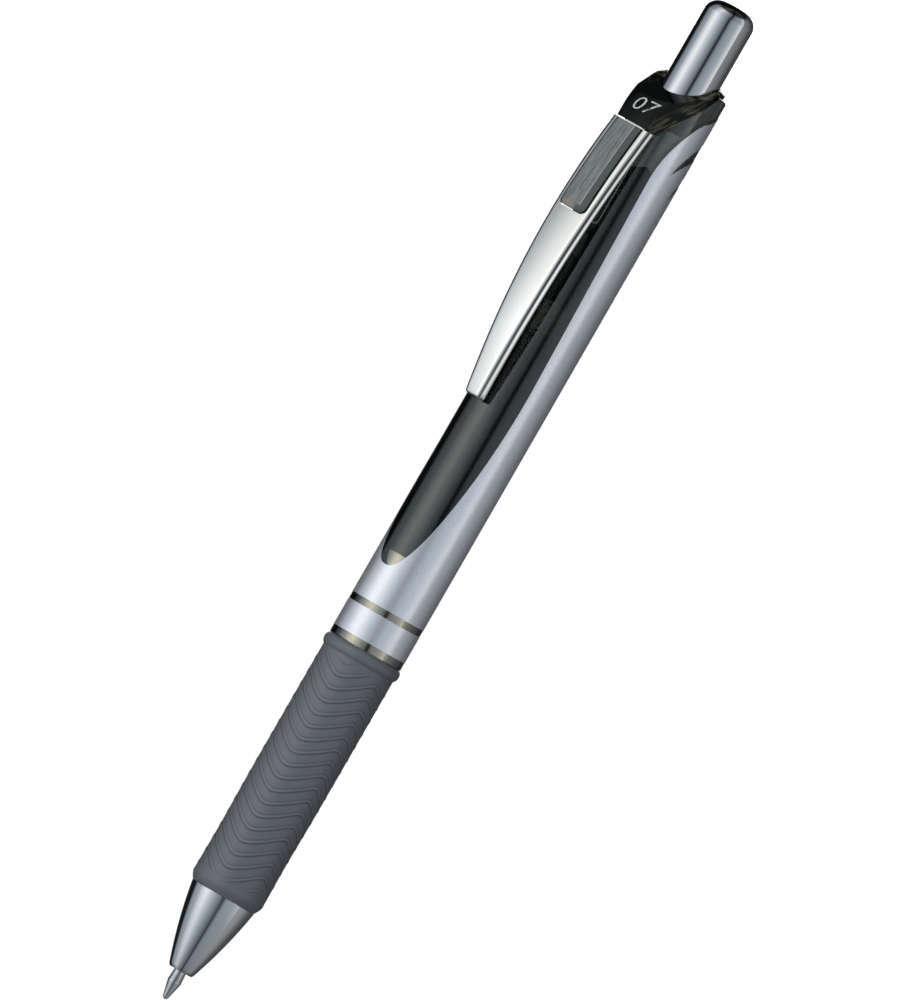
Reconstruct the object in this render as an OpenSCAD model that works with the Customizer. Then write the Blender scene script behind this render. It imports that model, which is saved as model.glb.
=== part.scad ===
// Retractable gel pen, stored upright with its writing point at the origin.
// The clip is on the -Y side, and the tip is out, as it is for writing.

/* [Writing tip] */
// Diameter of the rolling ball
ball_d = 0.7; // [0.5:0.1:0.9]
// How far the ball stands out of its lip
ball_out = 0.2; // [0.15:0.01:0.22]
// Wall of the lip that holds the ball
lip_wall = 0.04; // [0.03:0.01:0.06]
// Height of the widest place of the cone above the writing point
shoulder_z = 2.55; // [2:0.05:3]
// Diameter at the widest place of the cone
shoulder_d = 1.86; // [1.7:0.02:2]
// Diameter of the shank behind the cone
shank_d = 1.64; // [1.5:0.02:1.68]
// Length of the taper from the cone back to the shank
shank_taper = 1.3; // [0.8:0.1:1.8]
// Length of the shank held in the holder
shank_hold = 2.2; // [1.5:0.1:3]
// Diameter of the ink channel in the tip
channel_d = 0.5; // [0.3:0.05:0.6]
// How far the tip stands out of the nose when it is ready to write
tip_out = 4.05; // [3.6:0.05:4.5]

/* [Refill] */
// Length of the whole refill, from the writing point to its tail
refill_len = 111.5; // [108:0.5:113]
// Outside diameter of the ink tube
tube_d = 6; // [5.6:0.1:6.2]
// Wall of the ink tube
tube_wall = 0.5; // [0.4:0.05:0.7]
// Height of the holder's front face above the writing point
holder_z = 7.4; // [7.2:0.1:8]
// Diameter of the holder's front face
holder_nose_d = 2.7; // [2.4:0.1:2.9]
// Length of the cone behind the holder's front face
holder_cone = 1; // [0.5:0.1:1.5]
// Diameter of the stem that the spring slides on
stem_d = 3.4; // [3.2:0.1:3.5]
// Length of the stem
stem_len = 15.6; // [14:0.2:18]
// Thickness of the flange that the spring pushes on
flange_len = 2; // [1.5:0.1:3]
// Length of the plug inside the ink tube
plug_len = 4; // [3:0.5:6]
// Diameter of the ink passage in the holder
passage_d = 1; // [0.6:0.1:1.2]
// Length of the ink column above the plug
ink_len = 67; // [40:1:68]
// Length of the clear grease plug that follows the ink
follower_len = 4; // [3:0.5:6]
// Length of the tail plug's flange
tail_flange = 1; // [0.6:0.1:1.5]
// Length of the tail plug inside the tube
tail_hold = 3; // [2:0.5:4]
// Diameter of the air vent in the tail plug
vent_d = 0.8; // [0.5:0.1:1.2]

/* [Spring] */
// Diameter of the spring wire
wire_d = 0.4; // [0.3:0.05:0.45]
// Diameter of the coil at the middle of the wire
coil_d = 4.4; // [4.3:0.05:4.6]
// Turns of the spring
turns = 10; // [8:1:11]

/* [Nose cone] */
// Length of the nose cone that shows
nose_len = 10.9; // [10:0.1:12]
// Outside diameter at the mouth
mouth_d = 3.36; // [3.2:0.02:3.6]
// Outside diameter where the cone meets the grip
nose_d = 8.98; // [8.8:0.02:9.2]
// How far the side of the cone swells out of a straight line
nose_swell = 0.25; // [0.1:0.05:0.4]
// Room between the widest place of the tip and the mouth
mouth_gap = 0.15; // [0.1:0.05:0.25]
// Room round the holder in the front of the cone
holder_gap = 0.27; // [0.2:0.01:0.3]
// Room in front of the holder when the knob is pressed right down
holder_room = 0.55; // [0.3:0.05:0.7]
// Length of the front cavity, from the mouth to the seat of the spring
seat_depth = 5.55; // [5:0.05:6]
// Room round the spring
spring_gap = 0.35; // [0.25:0.05:0.4]
// Diameter of the threaded spigot behind the cone
spigot_d = 7.2; // [7:0.05:7.4]
// Length of the spigot
spigot_len = 7; // [5:0.5:8]
// Wall of the spigot
spigot_wall = 0.5; // [0.4:0.05:0.6]

/* [Grip] */
// Length of the grip sleeve
grip_len = 35.85; // [32:0.05:40]
// Diameter of the grip
grip_d = 10.1; // [9.8:0.05:10.3]
// Length of the rounded front shoulder
grip_shoulder = 1.2; // [0.8:0.1:2]
// How far the shoulder swells out of a straight line
shoulder_swell = 0.19; // [0.1:0.01:0.25]
// Diameter over the bead at the top of the grip
bead_d = 10.84; // [10.6:0.02:11]
// Height of the bead
bead_len = 1.7; // [1.4:0.1:2.2]
// Height of the flat along the bead's crest
bead_flat = 0.34; // [0.2:0.02:0.5]
// Diameter of the front section under the grip
core_d = 8.5; // [8.3:0.05:8.7]
// Length of the front section inside the barrel
core_hold = 12.95; // [10:0.05:14]

/* [Barrel] */
// Height of the barrel's top above the refill's tail, where the click mechanism sits
tail_room = 22.35; // [21:0.05:25]
// Diameter of the bare barrel
barrel_d = 10.12; // [10:0.02:10.3]
// Bore of the barrel
bore_d = 8.4; // [8.3:0.05:8.5]
// Rounding of the barrel's top edge
barrel_edge = 0.4; // [0.2:0.05:0.5]
// Thickness of the silver lacquer
coat = 0.1; // [0.06:0.01:0.12]
// Height of the bare ring below the silver band
low_ring = 1.1; // [0.8:0.1:1.5]
// Height of the silver band
band_len = 3.8; // [3:0.1:5]
// Height of the bare ring above the silver band
high_ring = 0.95; // [0.7:0.05:1.4]
// Height of the full silver between the upper ring and the window
window_start = 5; // [3:0.1:7]
// Half of the window's width at its widest place
window_half = 4.56; // [4.3:0.02:4.7]
// Height from the window's lower point to its widest place
window_rise = 27.6; // [22:0.1:32]
// How full the window's sides are on their way up
window_full = 2.2; // [1.8:0.1:2.6]
// How sharp the window's lower point is
window_point = 0.4; // [0.35:0.01:0.5]
// Half of the window's width below the collar
waist_half = 4.24; // [3.9:0.02:4.3]
// Height of the flare above the waist of the window
flare_len = 9.8; // [8:0.1:12]
// How far the silver stops below the barrel's top, at the sides
coat_drop = 4.05; // [3.5:0.05:5]
// Slope of the silver's top edge towards the back
coat_slope = 18; // [10:1:22]

/* [Stripes] */
// Tapered stripes on each side, cut in the silver
stripes = 2; // [1:1:2]
// How far the first stripe's point lies below the barrel's top
stripe_drop = 11.65; // [10:0.05:13]
// How far the first stripe's point lies in front of the axis
stripe_fore = 0.72; // [0.4:0.02:1.2]
// Step from one stripe down to the next
stripe_step = 3; // [2.5:0.1:3.5]
// Step from one stripe towards the back
stripe_back = 2; // [1.5:0.1:2.5]
// Radius of a stripe's lower edge
stripe_low_r = 8.1; // [8:0.05:8.4]
// Lean of a stripe's lower edge at its point
stripe_low_lean = 33.1; // [30:0.1:36]
// Radius of a stripe's upper edge
stripe_high_r = 8.73; // [8.6:0.01:9]
// Lean of a stripe's upper edge at its point
stripe_high_lean = 11.8; // [9:0.1:14]
// Width of the plain silver between the stripes at the back
spine_w = 3; // [2:0.1:4]

/* [Collar] */
// How far the seam drops from the barrel's top to the clip
seam_drop = 8.25; // [7.5:0.05:9]
// Slope of the seam
seam_slope = 56.6; // [54:0.1:59]
// Diameter of the collar inside the barrel
collar_d = 9; // [8.9:0.02:9.1]
// Length of the collar inside the barrel
collar_hold = 6.85; // [6.5:0.05:7.2]
// Radius of the dome
dome_r = 8.57; // [8.5:0.01:8.7]
// How far the middle of the dome lies behind the axis
dome_back = 1.88; // [1.7:0.02:2]
// How far the middle of the dome lies below the barrel's top
dome_drop = 7.05; // [6.9:0.05:7.2]
// Slope of the mouth round the knob
mouth_slope = 34.2; // [32:0.1:36]
// Width of the hood over the root of the clip
hood_w = 5.5; // [5.3:0.1:5.8]
// Distance of the hood's face from the axis
hood_out = 6.75; // [6.6:0.05:6.9]

/* [Clip] */
// Length of the clip below the collar
clip_len = 39.7; // [37:0.1:42]
// Thickness of the clip's sheet
sheet = 0.5; // [0.4:0.05:0.6]
// Depth of the clip's folded sides
clip_depth = 1.1; // [1:0.05:1.2]
// Width of the clip at the collar
clip_w = 6.9; // [6.6:0.1:7.2]
// Width of the clip at its free end
clip_end_w = 3; // [2.8:0.1:3.2]
// Distance of the clip's face from the axis at the collar
root_out = 6.65; // [6.55:0.02:6.75]
// Distance of the clip's face from the axis at its crest
crest_out = 8.6; // [8.4:0.02:8.8]
// Distance of the clip's face from the axis at its free end
end_out = 7.1; // [7:0.02:7.3]
// How far the crest lies below the top of the clip
crest_drop = 20; // [18:0.1:22]
// How far the taper of the clip starts below its top
taper_drop = 0.6; // [0.5:0.1:2]
// Length of the clear insert in the clip
insert_len = 13.1; // [12:0.1:14]
// Width of the insert
insert_w = 4.65; // [4:0.05:4.8]
// Rounding of the insert's lower corners
insert_corner = 0.9; // [0.5:0.1:1.2]
// Thickness of the insert
insert_t = 0.8; // [0.7:0.05:0.9]
// Length of the raised ridge on the insert
ridge_len = 8.8; // [7:0.1:9.5]
// Width of the ridge at its round end
ridge_w = 0.9; // [0.7:0.1:1.2]
// How far the ridge stands out
ridge_h = 0.15; // [0.1:0.05:0.2]
// Length of the foot under the free end
foot_len = 9; // [7:0.5:10]
// Width of the foot
foot_w = 1.2; // [0.9:0.05:1.25]
// Length of the tongue that holds the clip in the collar
tongue_len = 3; // [2.5:0.1:3.2]
// Width of the tongue
tongue_w = 3.2; // [3:0.1:3.6]
// Distance of the tongue's inner face from the axis
tongue_in = 5.4; // [5.35:0.01:5.45]
// Room behind the tongue, where it swings as the clip opens
tongue_room = 0.5; // [0.35:0.05:0.6]

/* [Knob] */
// Diameter of the knob
knob_d = 6.9; // [6.7:0.05:7]
// How far the knob stands above the middle of the collar's mouth
knob_out = 11.1; // [9:0.1:13]
// How far the knob still sits in the front of the mouth when the tip is in
knob_cover = 0.5; // [0.3:0.05:0.8]
// Rounding of the knob's top
knob_round = 2; // [1:0.1:2.4]
// Wall of the knob
knob_wall = 0.75; // [0.7:0.05:0.8]

/* [Click mechanism] */
// Travel from writing back to the tip inside the nose
stroke = 5.2; // [4.6:0.1:5.4]
// Travel past the catch when the knob is pressed right down
over_press = 1.2; // [0.8:0.1:1.3]
// Length of the grooves in the cam sleeve
groove_len = 3.4; // [3:0.1:4]
// Number of grooves and ribs
grooves = 4; // [3:1:4]
// Width of a rib
rib_w = 1; // [0.8:0.05:1.1]
// Distance of a rib's face from the axis
rib_out = 3.35; // [3.3:0.01:3.4]
// Diameter of the rotor
rotor_d = 5.2; // [5:0.05:5.3]
// Bore through the rotor and the thrust cam
rotor_bore = 3.2; // [2.8:0.1:3.4]
// Thickness of the rotor's floor on the refill
rotor_floor = 1; // [0.8:0.1:1.5]
// Height of the rotor's ribs
rotor_rib = 3.6; // [3:0.1:4.5]
// Teeth round a crown
teeth = 8; // [6:1:8]
// Depth of a crown's teeth
tooth_depth = 0.8; // [0.6:0.05:0.9]
// Width of the flat at a tooth's point
tooth_flat = 0.2; // [0.1:0.05:0.3]

/* [Fits] */
// Room between the knob and what guides it
knob_gap = 0.1; // [0.08:0.01:0.12]
// Room under the knob when it is pressed right down
shelf_gap = 0.3; // [0.2:0.05:0.4]
// Room between a rib and its groove, each side
groove_gap = 0.15; // [0.1:0.01:0.2]
// Room between the ball and its socket
ball_gap = 0.01; // [0.01:0.005:0.02]
// Room between the screwed nose cone and the front section
thread_gap = 0.05; // [0.03:0.01:0.1]
// Room between the two faces where the nose cone stops
face_gap = 0.05; // [0.03:0.01:0.1]
// Room between the ink and the tube
film_gap = 0.03; // [0.02:0.01:0.05]
// Room at each end of the spring
spring_end_gap = 0.03; // [0.02:0.01:0.05]
// Room between the clip and the collar
clip_gap = 0.3; // [0.25:0.01:0.35]
// Room between the clip's foot and the bare barrel
foot_gap = 0.12; // [0.1:0.01:0.15]
// Room between the facing crowns of the mechanism
crown_gap = 0.2; // [0.18:0.01:0.25]

/* [Hidden] */
$fn = 96;
// Sides of the circles that are large against the part they shape
wide_fn = 720;
// More than the largest size of the pen, for cutting away a side
far = 60;
// How far a cut runs past the face that it opens
past = 0.1;

ball_r = ball_d / 2;
lip_r = sqrt(pow(ball_r, 2) - pow(ball_r - ball_out, 2)) + ball_gap + lip_wall;
tip_len = holder_z + shank_hold;
flange_z = holder_z + holder_cone + stem_len;
tube_z = flange_z + flange_len;
tube_r = tube_d / 2;
tube_in = tube_r - tube_wall;
ink_z = tube_z + plug_len;
follower_z = ink_z + ink_len;
tail_z = refill_len - tail_flange;

nose_z = tip_out;
nose_top = nose_z + nose_len;
seat_z = nose_z + seat_depth;
mouth_in = shoulder_d / 2 + mouth_gap;
front_in = stem_d / 2 + holder_gap;
seat_in = coil_d / 2 + wire_d / 2 + spring_gap;
spigot_in = spigot_d / 2 - spigot_wall;
mouth_end = holder_z - over_press - holder_room;

grip_z = nose_top + face_gap;
barrel_z = grip_z + grip_len;
core_r = core_d / 2;
core_in = spigot_d / 2 + thread_gap;

bare_r = barrel_d / 2;
outer_r = bare_r + coat;
bore_r = bore_d / 2;
barrel_top = refill_len + tail_room;
barrel_len = barrel_top - barrel_z;
band_z = barrel_z + low_ring;
coat_z = band_z + band_len + high_ring;
window_z = coat_z + window_start;
coat_side_z = barrel_top - coat_drop;
waist_z = coat_side_z - flare_len;
flare_out = outer_r + coat - waist_half;
flare_r = (pow(flare_len, 2) + pow(flare_out, 2)) / (2 * flare_out);
window_steps = 20;

seam_z = barrel_top - seam_drop;
collar_r = collar_d / 2;
collar_z = barrel_top - collar_hold;
dome_z = barrel_top - dome_drop;
mouth_z = barrel_top + face_gap;
cheek_turn = atan(hood_w / 2 / hood_out) + acos(bare_r / norm([hood_w / 2, hood_out]));

clip_top = seam_z - clip_gap;
clip_end = clip_top - clip_len;
crest_z = clip_top - crest_drop;
taper_z = clip_top - taper_drop;
root_bow = crest_out - root_out;
end_bow = crest_out - end_out;
root_r = (pow(crest_drop, 2) + pow(root_bow, 2)) / (2 * root_bow);
end_r = (pow(crest_z - clip_end, 2) + pow(end_bow, 2)) / (2 * end_bow);
taper_in = (clip_w - clip_end_w) / 2;
taper_r = (pow(taper_z - clip_end, 2) + pow(taper_in, 2)) / (2 * taper_in);
insert_z = clip_top - insert_len;
tongue_out = tongue_in + sheet;
tongue_z = clip_top - sheet;
foot_in = bare_r + foot_gap;
foot_rise = end_out - clip_depth - foot_in + sheet;
foot_r = (pow(foot_len, 2) + pow(foot_rise, 2)) / (2 * foot_rise);

knob_r = knob_d / 2;
knob_in = knob_r - knob_wall;
knob_guide = knob_r + knob_gap;
knob_z = mouth_z - knob_guide * tan(mouth_slope) - knob_cover - stroke;
knob_top = mouth_z + knob_out;
knob_roof = knob_top - knob_round;
shelf_z = knob_z - over_press - shelf_gap;
sleeve_z = shelf_z - groove_len;
sleeve_in = knob_in + 2 * knob_gap;
groove_w = rib_w + 2 * groove_gap;
groove_out = rib_out + 2 * groove_gap;
rotor_r = rotor_d / 2;
crown_z = sleeve_z + tooth_depth;
crown_low = crown_z - tooth_depth + crown_gap;
rib_top = sleeve_z - crown_gap;

spring_low = seat_z + wire_d / 2 + spring_end_gap;
spring_high = flange_z - wire_d / 2 - spring_end_gap;
turn_steps = 8;
wire_sides = 6;
rings = turn_steps * turns;

// Radius of the arc through two points that swells out of their chord
function arc_r(p, q, swell) = pow(norm(q - p), 2) / (8 * swell) + swell / 2;
// Centre of that arc, which swells to the right of the way from p to q
function arc_centre(p, q, swell) =
    (p + q) / 2 - (arc_r(p, q, swell) - swell) * [(q - p).y, -(q - p).x] / norm(q - p);

// Point of the window's side, at a share u of its rise
function window_at(u) =
    [window_half * pow(1 - pow(1 - u, window_full), window_point), window_z + u * window_rise];
// Point of the window's side, at a height h above its waist
function flare_at(h) =
    [waist_half + flare_r - sqrt(pow(flare_r, 2) - pow(h, 2)), waist_z + h];

// Point of the spring wire's middle, and of its skin
function wire_at(i) =
    let (a = 360 * i / turn_steps)
    [coil_d / 2 * cos(a), coil_d / 2 * sin(a), spring_low + (spring_high - spring_low) * i / rings];
function wire_skin(i, j) =
    let (a = 360 * i / turn_steps, b = 360 * j / wire_sides)
    wire_at(i) + wire_d / 2 * [cos(b) * cos(a), cos(b) * sin(a), sin(b)];
// Least distance between the skins of two neighbouring turns
least_gap = min([for (i = [0 : turn_steps - 1], j = [0 : wire_sides - 1], k = [0 : wire_sides - 1])
    norm(wire_skin(i + turn_steps, j) - wire_skin(i, k))]);

// A round tube
module tube(r, inner, z0, z1) {
    translate([0, 0, z0])
        difference() {
            cylinder(r = r, h = z1 - z0);
            translate([0, 0, -past])
                cylinder(r = inner, h = z1 - z0 + 2 * past);
        }
}

// A round rod
module rod(r, z0, z1) {
    translate([0, 0, z0])
        cylinder(r = r, h = z1 - z0);
}

// All that lies above a plane that rises to the back at an angle
module above(y, z, slope) {
    translate([0, y, z])
        rotate([slope, 0, 0])
            translate([-far, -far, 0])
                cube(2 * far);
}

// V-shaped notches round an axis, as deep as the teeth of a crown
module crown_notches(r, z, depth, count, first, up) {
    half = r * sin(180 / count) - tooth_flat / 2;
    mouth = half * (1 + past / depth);
    for (i = [0 : count - 1])
        rotate(first + i * 360 / count)
            translate([0, 0, z])
                rotate([90, 0, 90])
                    linear_extrude(r + past)
                        polygon([[-mouth, -up * past], [mouth, -up * past], [0, up * depth]]);
}

// A radial rib with a sloped top
module rib(r0, r1, w, z0, z1, slope) {
    translate([r0, 0, 0])
        rotate([90, 0, 90])
            linear_extrude(r1 - r0)
                polygon([[-w / 2, z0], [w / 2, z0], [w / 2, z1 - slope], [-w / 2, z1]]);
}

// Side view of the clip's face, sunk by a depth, as distance from the axis against height
module clip_side(depth) {
    intersection() {
        translate([crest_out - root_r, crest_z])
            circle(r = root_r - depth, $fn = wide_fn);
        translate([0, crest_z])
            square([crest_out, crest_drop]);
    }
    intersection() {
        translate([crest_out - end_r, crest_z])
            circle(r = end_r - depth, $fn = wide_fn);
        translate([0, clip_end])
            square([crest_out, crest_z - clip_end]);
    }
}

// Front view of the clip, drawn in by an inset
module clip_front(inset) {
    translate([-clip_w / 2 + inset, taper_z])
        square([clip_w - 2 * inset, taper_drop]);
    intersection() {
        taper_arc(1, inset);
        taper_arc(-1, inset);
        translate([-clip_w / 2, clip_end])
            square([clip_w, taper_z - clip_end]);
    }
}

// The wide arc that tapers one side of the clip
module taper_arc(side, inset) {
    translate([side * (clip_w / 2 - taper_r), taper_z])
        circle(r = taper_r - inset, $fn = wide_fn);
}

// A side view turned up and run across the pen
module across(w) {
    rotate([90, 0, -90])
        translate([0, 0, -w / 2])
            linear_extrude(w)
                children();
}

// A front view turned up and run out from the axis on the clip's side
module outwards(y0, y1) {
    translate([0, -y0, 0])
        rotate([90, 0, 0])
            linear_extrude(y1 - y0)
                children();
}

// The collar from above, where the cheeks of the hood run into the round of the barrel
module collar_top() {
    cheek = bare_r * [sin(cheek_turn), -cos(cheek_turn)];
    circle(outer_r);
    polygon([[-hood_w / 2, -hood_out], [hood_w / 2, -hood_out], cheek, [0, 0], [-cheek.x, cheek.y]]);
}

// Front view of the clip's insert
module insert_front() {
    w = insert_w / 2;
    straight = insert_z + insert_corner;
    translate([-w, straight])
        square([insert_w, tongue_z - straight]);
    translate([-w + insert_corner, insert_z])
        square([insert_w - 2 * insert_corner, insert_corner]);
    for (side = [-1, 1])
        translate([side * (w - insert_corner), straight])
            circle(insert_corner);
}

// Front view of the raised ridge on the insert
module ridge_front() {
    low = insert_z + 2 * insert_corner;
    round_z = low + ridge_w / 2;
    translate([0, round_z])
        circle(d = ridge_w);
    polygon([[-ridge_w / 2, round_z], [ridge_w / 2, round_z], [0, low + ridge_len]]);
}

// Side view of one tapered stripe from its point, as distance to the back against height
module stripe() {
    difference() {
        rotate(-stripe_high_lean)
            translate([stripe_high_r, 0])
                circle(stripe_high_r);
        rotate(-stripe_low_lean)
            translate([stripe_low_r, 0])
                circle(stripe_low_r);
    }
}

// The stripes of one side, cut from the silver up to the plain spine at the back
module side_stripes(side) {
    for (i = [0 : stripes - 1])
        translate([side * (far + spine_w) / 2, i * stripe_back - stripe_fore, 0])
            rotate([90, 0, 90])
                translate([0, barrel_top - stripe_drop - i * stripe_step, -far / 2])
                    linear_extrude(far)
                        stripe();
}

module barrel() {
    color([0.13, 0.14, 0.14, 0.7])
        difference() {
            rotate_extrude()
                difference() {
                    union() {
                        translate([bore_r, barrel_z])
                            square([bare_r - bore_r, barrel_len - barrel_edge]);
                        translate([bore_r, barrel_z])
                            square([bare_r - bore_r - barrel_edge, barrel_len]);
                        translate([bare_r - barrel_edge, barrel_top - barrel_edge])
                            circle(barrel_edge);
                    }
                    translate([0, collar_z])
                        square([collar_r, collar_hold + past]);
                }
            above(-outer_r, seam_z, seam_slope);
        }
}

module front_section() {
    color("tan")
        difference() {
            union() {
                rod(core_r, grip_z, barrel_z);
                rod(bore_r, barrel_z, barrel_z + core_hold);
            }
            rod(core_in, grip_z - past, barrel_z + core_hold + past);
        }
}

module silver_coat() {
    rise = [for (i = [0 : window_steps]) window_at(pow(i / window_steps, 2))];
    flare = [for (i = [0 : window_steps]) flare_at(i / window_steps * flare_len)];
    right = concat(rise, flare);
    left = [for (i = [len(right) - 1 : -1 : 1]) [-right[i].x, right[i].y]];
    color("silver") {
        tube(outer_r, bare_r, band_z, band_z + band_len);
        difference() {
            tube(outer_r, bare_r, coat_z, barrel_top);
            outwards(0, outer_r + past)
                polygon(concat(right, left));
            translate([-far, -2 * far, coat_side_z])
                cube(2 * far);
            above(0, coat_side_z, coat_slope);
            side_stripes(1);
            side_stripes(-1);
        }
    }
}

module grip_sleeve() {
    front_r = nose_d / 2;
    grip_r = grip_d / 2;
    bead_r = bead_d / 2;
    bead_z = barrel_z - bead_len;
    crest_low = bead_z + (bead_len - bead_flat) / 2;
    foot = [front_r, grip_z];
    side = [grip_r, grip_z + grip_shoulder];
    color([0.36, 0.37, 0.39])
        rotate_extrude()
            difference() {
                union() {
                    intersection() {
                        translate([0, grip_z])
                            square([grip_r, grip_shoulder]);
                        translate(arc_centre(foot, side, shoulder_swell))
                            circle(r = arc_r(foot, side, shoulder_swell));
                    }
                    translate([0, grip_z + grip_shoulder])
                        square([grip_r, grip_len - grip_shoulder]);
                    polygon([[0, bead_z], [grip_r, bead_z], [bead_r, crest_low],
                             [bead_r, crest_low + bead_flat], [grip_r, barrel_z], [0, barrel_z]]);
                }
                translate([0, grip_z - past])
                    square([core_r, grip_len + 2 * past]);
            }
}

module nose_cone() {
    tip = [mouth_d / 2, nose_z];
    root = [nose_d / 2, nose_top];
    color([0.75, 0.77, 0.8])
        difference() {
            union() {
                rotate_extrude()
                    intersection() {
                        translate([0, nose_z])
                            square([nose_d / 2, nose_len]);
                        translate(arc_centre(tip, root, nose_swell))
                            circle(r = arc_r(tip, root, nose_swell), $fn = wide_fn);
                    }
                rod(spigot_d / 2, nose_top, nose_top + spigot_len);
            }
            rod(mouth_in, nose_z - past, mouth_end + past);
            rod(front_in, mouth_end, seat_z + past);
            rod(seat_in, seat_z, nose_top + spigot_len + past);
            rod(spigot_in, nose_top, nose_top + spigot_len + past);
        }
}

module top_collar() {
    color([0.07, 0.08, 0.08])
        difference() {
            intersection() {
                union() {
                    intersection() {
                        above(-outer_r, seam_z, seam_slope);
                        translate([0, 0, seam_z])
                            linear_extrude(knob_top - seam_z)
                                collar_top();
                    }
                    rod(collar_r, collar_z, knob_top);
                }
                translate([0, dome_back, dome_z])
                    sphere(dome_r);
                translate([0, 0, -past])
                    difference() {
                        rod(far, seam_z, knob_top);
                        above(0, mouth_z + past, mouth_slope);
                    }
            }
            rod(knob_guide, seam_z - past, knob_top);
            rod(bore_r, seam_z - past, collar_z);
            outwards(tongue_in - tongue_room, tongue_out + clip_gap)
                translate([-tongue_w / 2 - clip_gap, tongue_z])
                    square([tongue_w + 2 * clip_gap, tongue_len + clip_gap]);
        }
}

module clip() {
    color([0.8, 0.8, 0.82])
        difference() {
            union() {
                difference() {
                    intersection() {
                        across(clip_w + 2 * past)
                            difference() {
                                clip_side(0);
                                clip_side(clip_depth);
                            }
                        outwards(0, crest_out)
                            clip_front(0);
                    }
                    intersection() {
                        across(clip_w)
                            clip_side(sheet);
                        outwards(0, crest_out)
                            clip_front(sheet);
                    }
                }
                outwards(tongue_in, root_out - sheet / 2)
                    translate([-tongue_w / 2, tongue_z])
                        square([tongue_w, sheet]);
                outwards(tongue_in, tongue_out)
                    translate([-tongue_w / 2, tongue_z])
                        square([tongue_w, tongue_len]);
            }
            outwards(tongue_out, crest_out + past)
                insert_front();
        }
}

module clip_insert() {
    color([0.45, 0.48, 0.48, 0.7]) {
        intersection() {
            across(insert_w)
                difference() {
                    clip_side(0);
                    clip_side(insert_t);
                }
            outwards(tongue_out, crest_out)
                insert_front();
        }
        intersection() {
            across(insert_w)
                difference() {
                    clip_side(-ridge_h);
                    clip_side(insert_t / 2);
                }
            outwards(tongue_out, crest_out + ridge_h + past)
                ridge_front();
        }
    }
}

module clip_foot() {
    color([0.05, 0.05, 0.06])
        intersection() {
            across(foot_w)
                difference() {
                    clip_side(sheet);
                    translate([foot_in - foot_r, clip_end])
                        square([foot_r, clip_len]);
                    translate([foot_in, clip_end + foot_len])
                        square([crest_out, clip_len]);
                    difference() {
                        translate([0, clip_end])
                            square([foot_in + foot_r, foot_len]);
                        translate([foot_in + foot_r, clip_end])
                            circle(r = foot_r, $fn = wide_fn);
                    }
                }
            outwards(0, crest_out)
                clip_front(sheet);
        }
}

module knob() {
    color([0.78, 0.79, 0.82])
        rotate_extrude()
            difference() {
                union() {
                    translate([0, knob_z])
                        square([knob_r, knob_roof - knob_z]);
                    translate([0, knob_z])
                        square([knob_r - knob_round, knob_top - knob_z]);
                    intersection() {
                        translate([knob_r - knob_round, knob_roof])
                            circle(knob_round);
                        translate([0, knob_z])
                            square([knob_r, knob_top - knob_z]);
                    }
                }
                translate([0, knob_z - past])
                    square([knob_in, knob_roof - knob_z + past]);
            }
}

module thrust_cam() {
    color([0.85, 0.85, 0.83])
        difference() {
            union() {
                rod(knob_in, crown_low, knob_roof);
                for (i = [0 : grooves - 1])
                    rotate(i * 360 / grooves)
                        rib(rotor_bore / 2, rib_out, rib_w, crown_z + 2 * crown_gap, knob_z, 0);
            }
            rod(rotor_bore / 2, crown_low - past, knob_roof + past);
            crown_notches(knob_in, crown_low, tooth_depth, teeth, 0, 1);
        }
}

module rotor() {
    color([0.82, 0.82, 0.8])
        difference() {
            union() {
                rod(rotor_r, refill_len, crown_z);
                for (i = [0 : grooves - 1])
                    rotate(i * 360 / grooves)
                        rib(rotor_bore / 2, rib_out, rib_w, rib_top - rotor_rib, rib_top,
                            tooth_depth / 2);
            }
            rod(rotor_bore / 2, refill_len + rotor_floor, crown_z + past);
            rod(vent_d / 2, refill_len - past, crown_z);
            crown_notches(rotor_r, crown_z, tooth_depth, teeth, 180 / teeth, -1);
        }
}

module cam_sleeve() {
    color([0.6, 0.62, 0.62])
        difference() {
            rod(bore_r, sleeve_z, collar_z);
            rod(sleeve_in, sleeve_z - past, collar_z);
            rod(knob_guide, shelf_z, collar_z + past);
            for (i = [0 : grooves - 1])
                rotate(i * 360 / grooves)
                    rib(0, groove_out, groove_w, sleeve_z - past, shelf_z + past, 0);
            crown_notches(bore_r, sleeve_z, tooth_depth, 2 * grooves, 180 / grooves, 1);
        }
}

module return_spring() {
    last = rings * wire_sides;
    points = [for (i = [0 : rings], j = [0 : wire_sides - 1]) wire_skin(i, j)];
    skin = [for (i = [0 : rings - 1], j = [0 : wire_sides - 1])
        let (k = (j + 1) % wire_sides, a = i * wire_sides, b = a + wire_sides)
        each [[a + j, b + j, a + k], [a + k, b + j, b + k]]];
    start = [for (j = [1 : wire_sides - 2]) [0, j, j + 1]];
    end = [for (j = [1 : wire_sides - 2]) [last, last + j + 1, last + j]];
    echo(spring_least_gap = least_gap);
    color([0.7, 0.71, 0.73])
        polyhedron(points, concat(skin, start, end));
}

module refill_tube() {
    color([0.75, 0.77, 0.78, 0.5])
        tube(tube_r, tube_in, tube_z, tail_z);
}

module tip_holder() {
    color([0.15, 0.15, 0.16])
        difference() {
            union() {
                translate([0, 0, holder_z])
                    cylinder(d1 = holder_nose_d, d2 = stem_d, h = holder_cone);
                rod(stem_d / 2, holder_z + holder_cone, flange_z);
                rod(tube_r, flange_z, tube_z);
                rod(tube_in, tube_z, ink_z);
            }
            rod(shank_d / 2, holder_z - past, tip_len);
            rod(passage_d / 2, tip_len - past, ink_z + past);
        }
}

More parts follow.
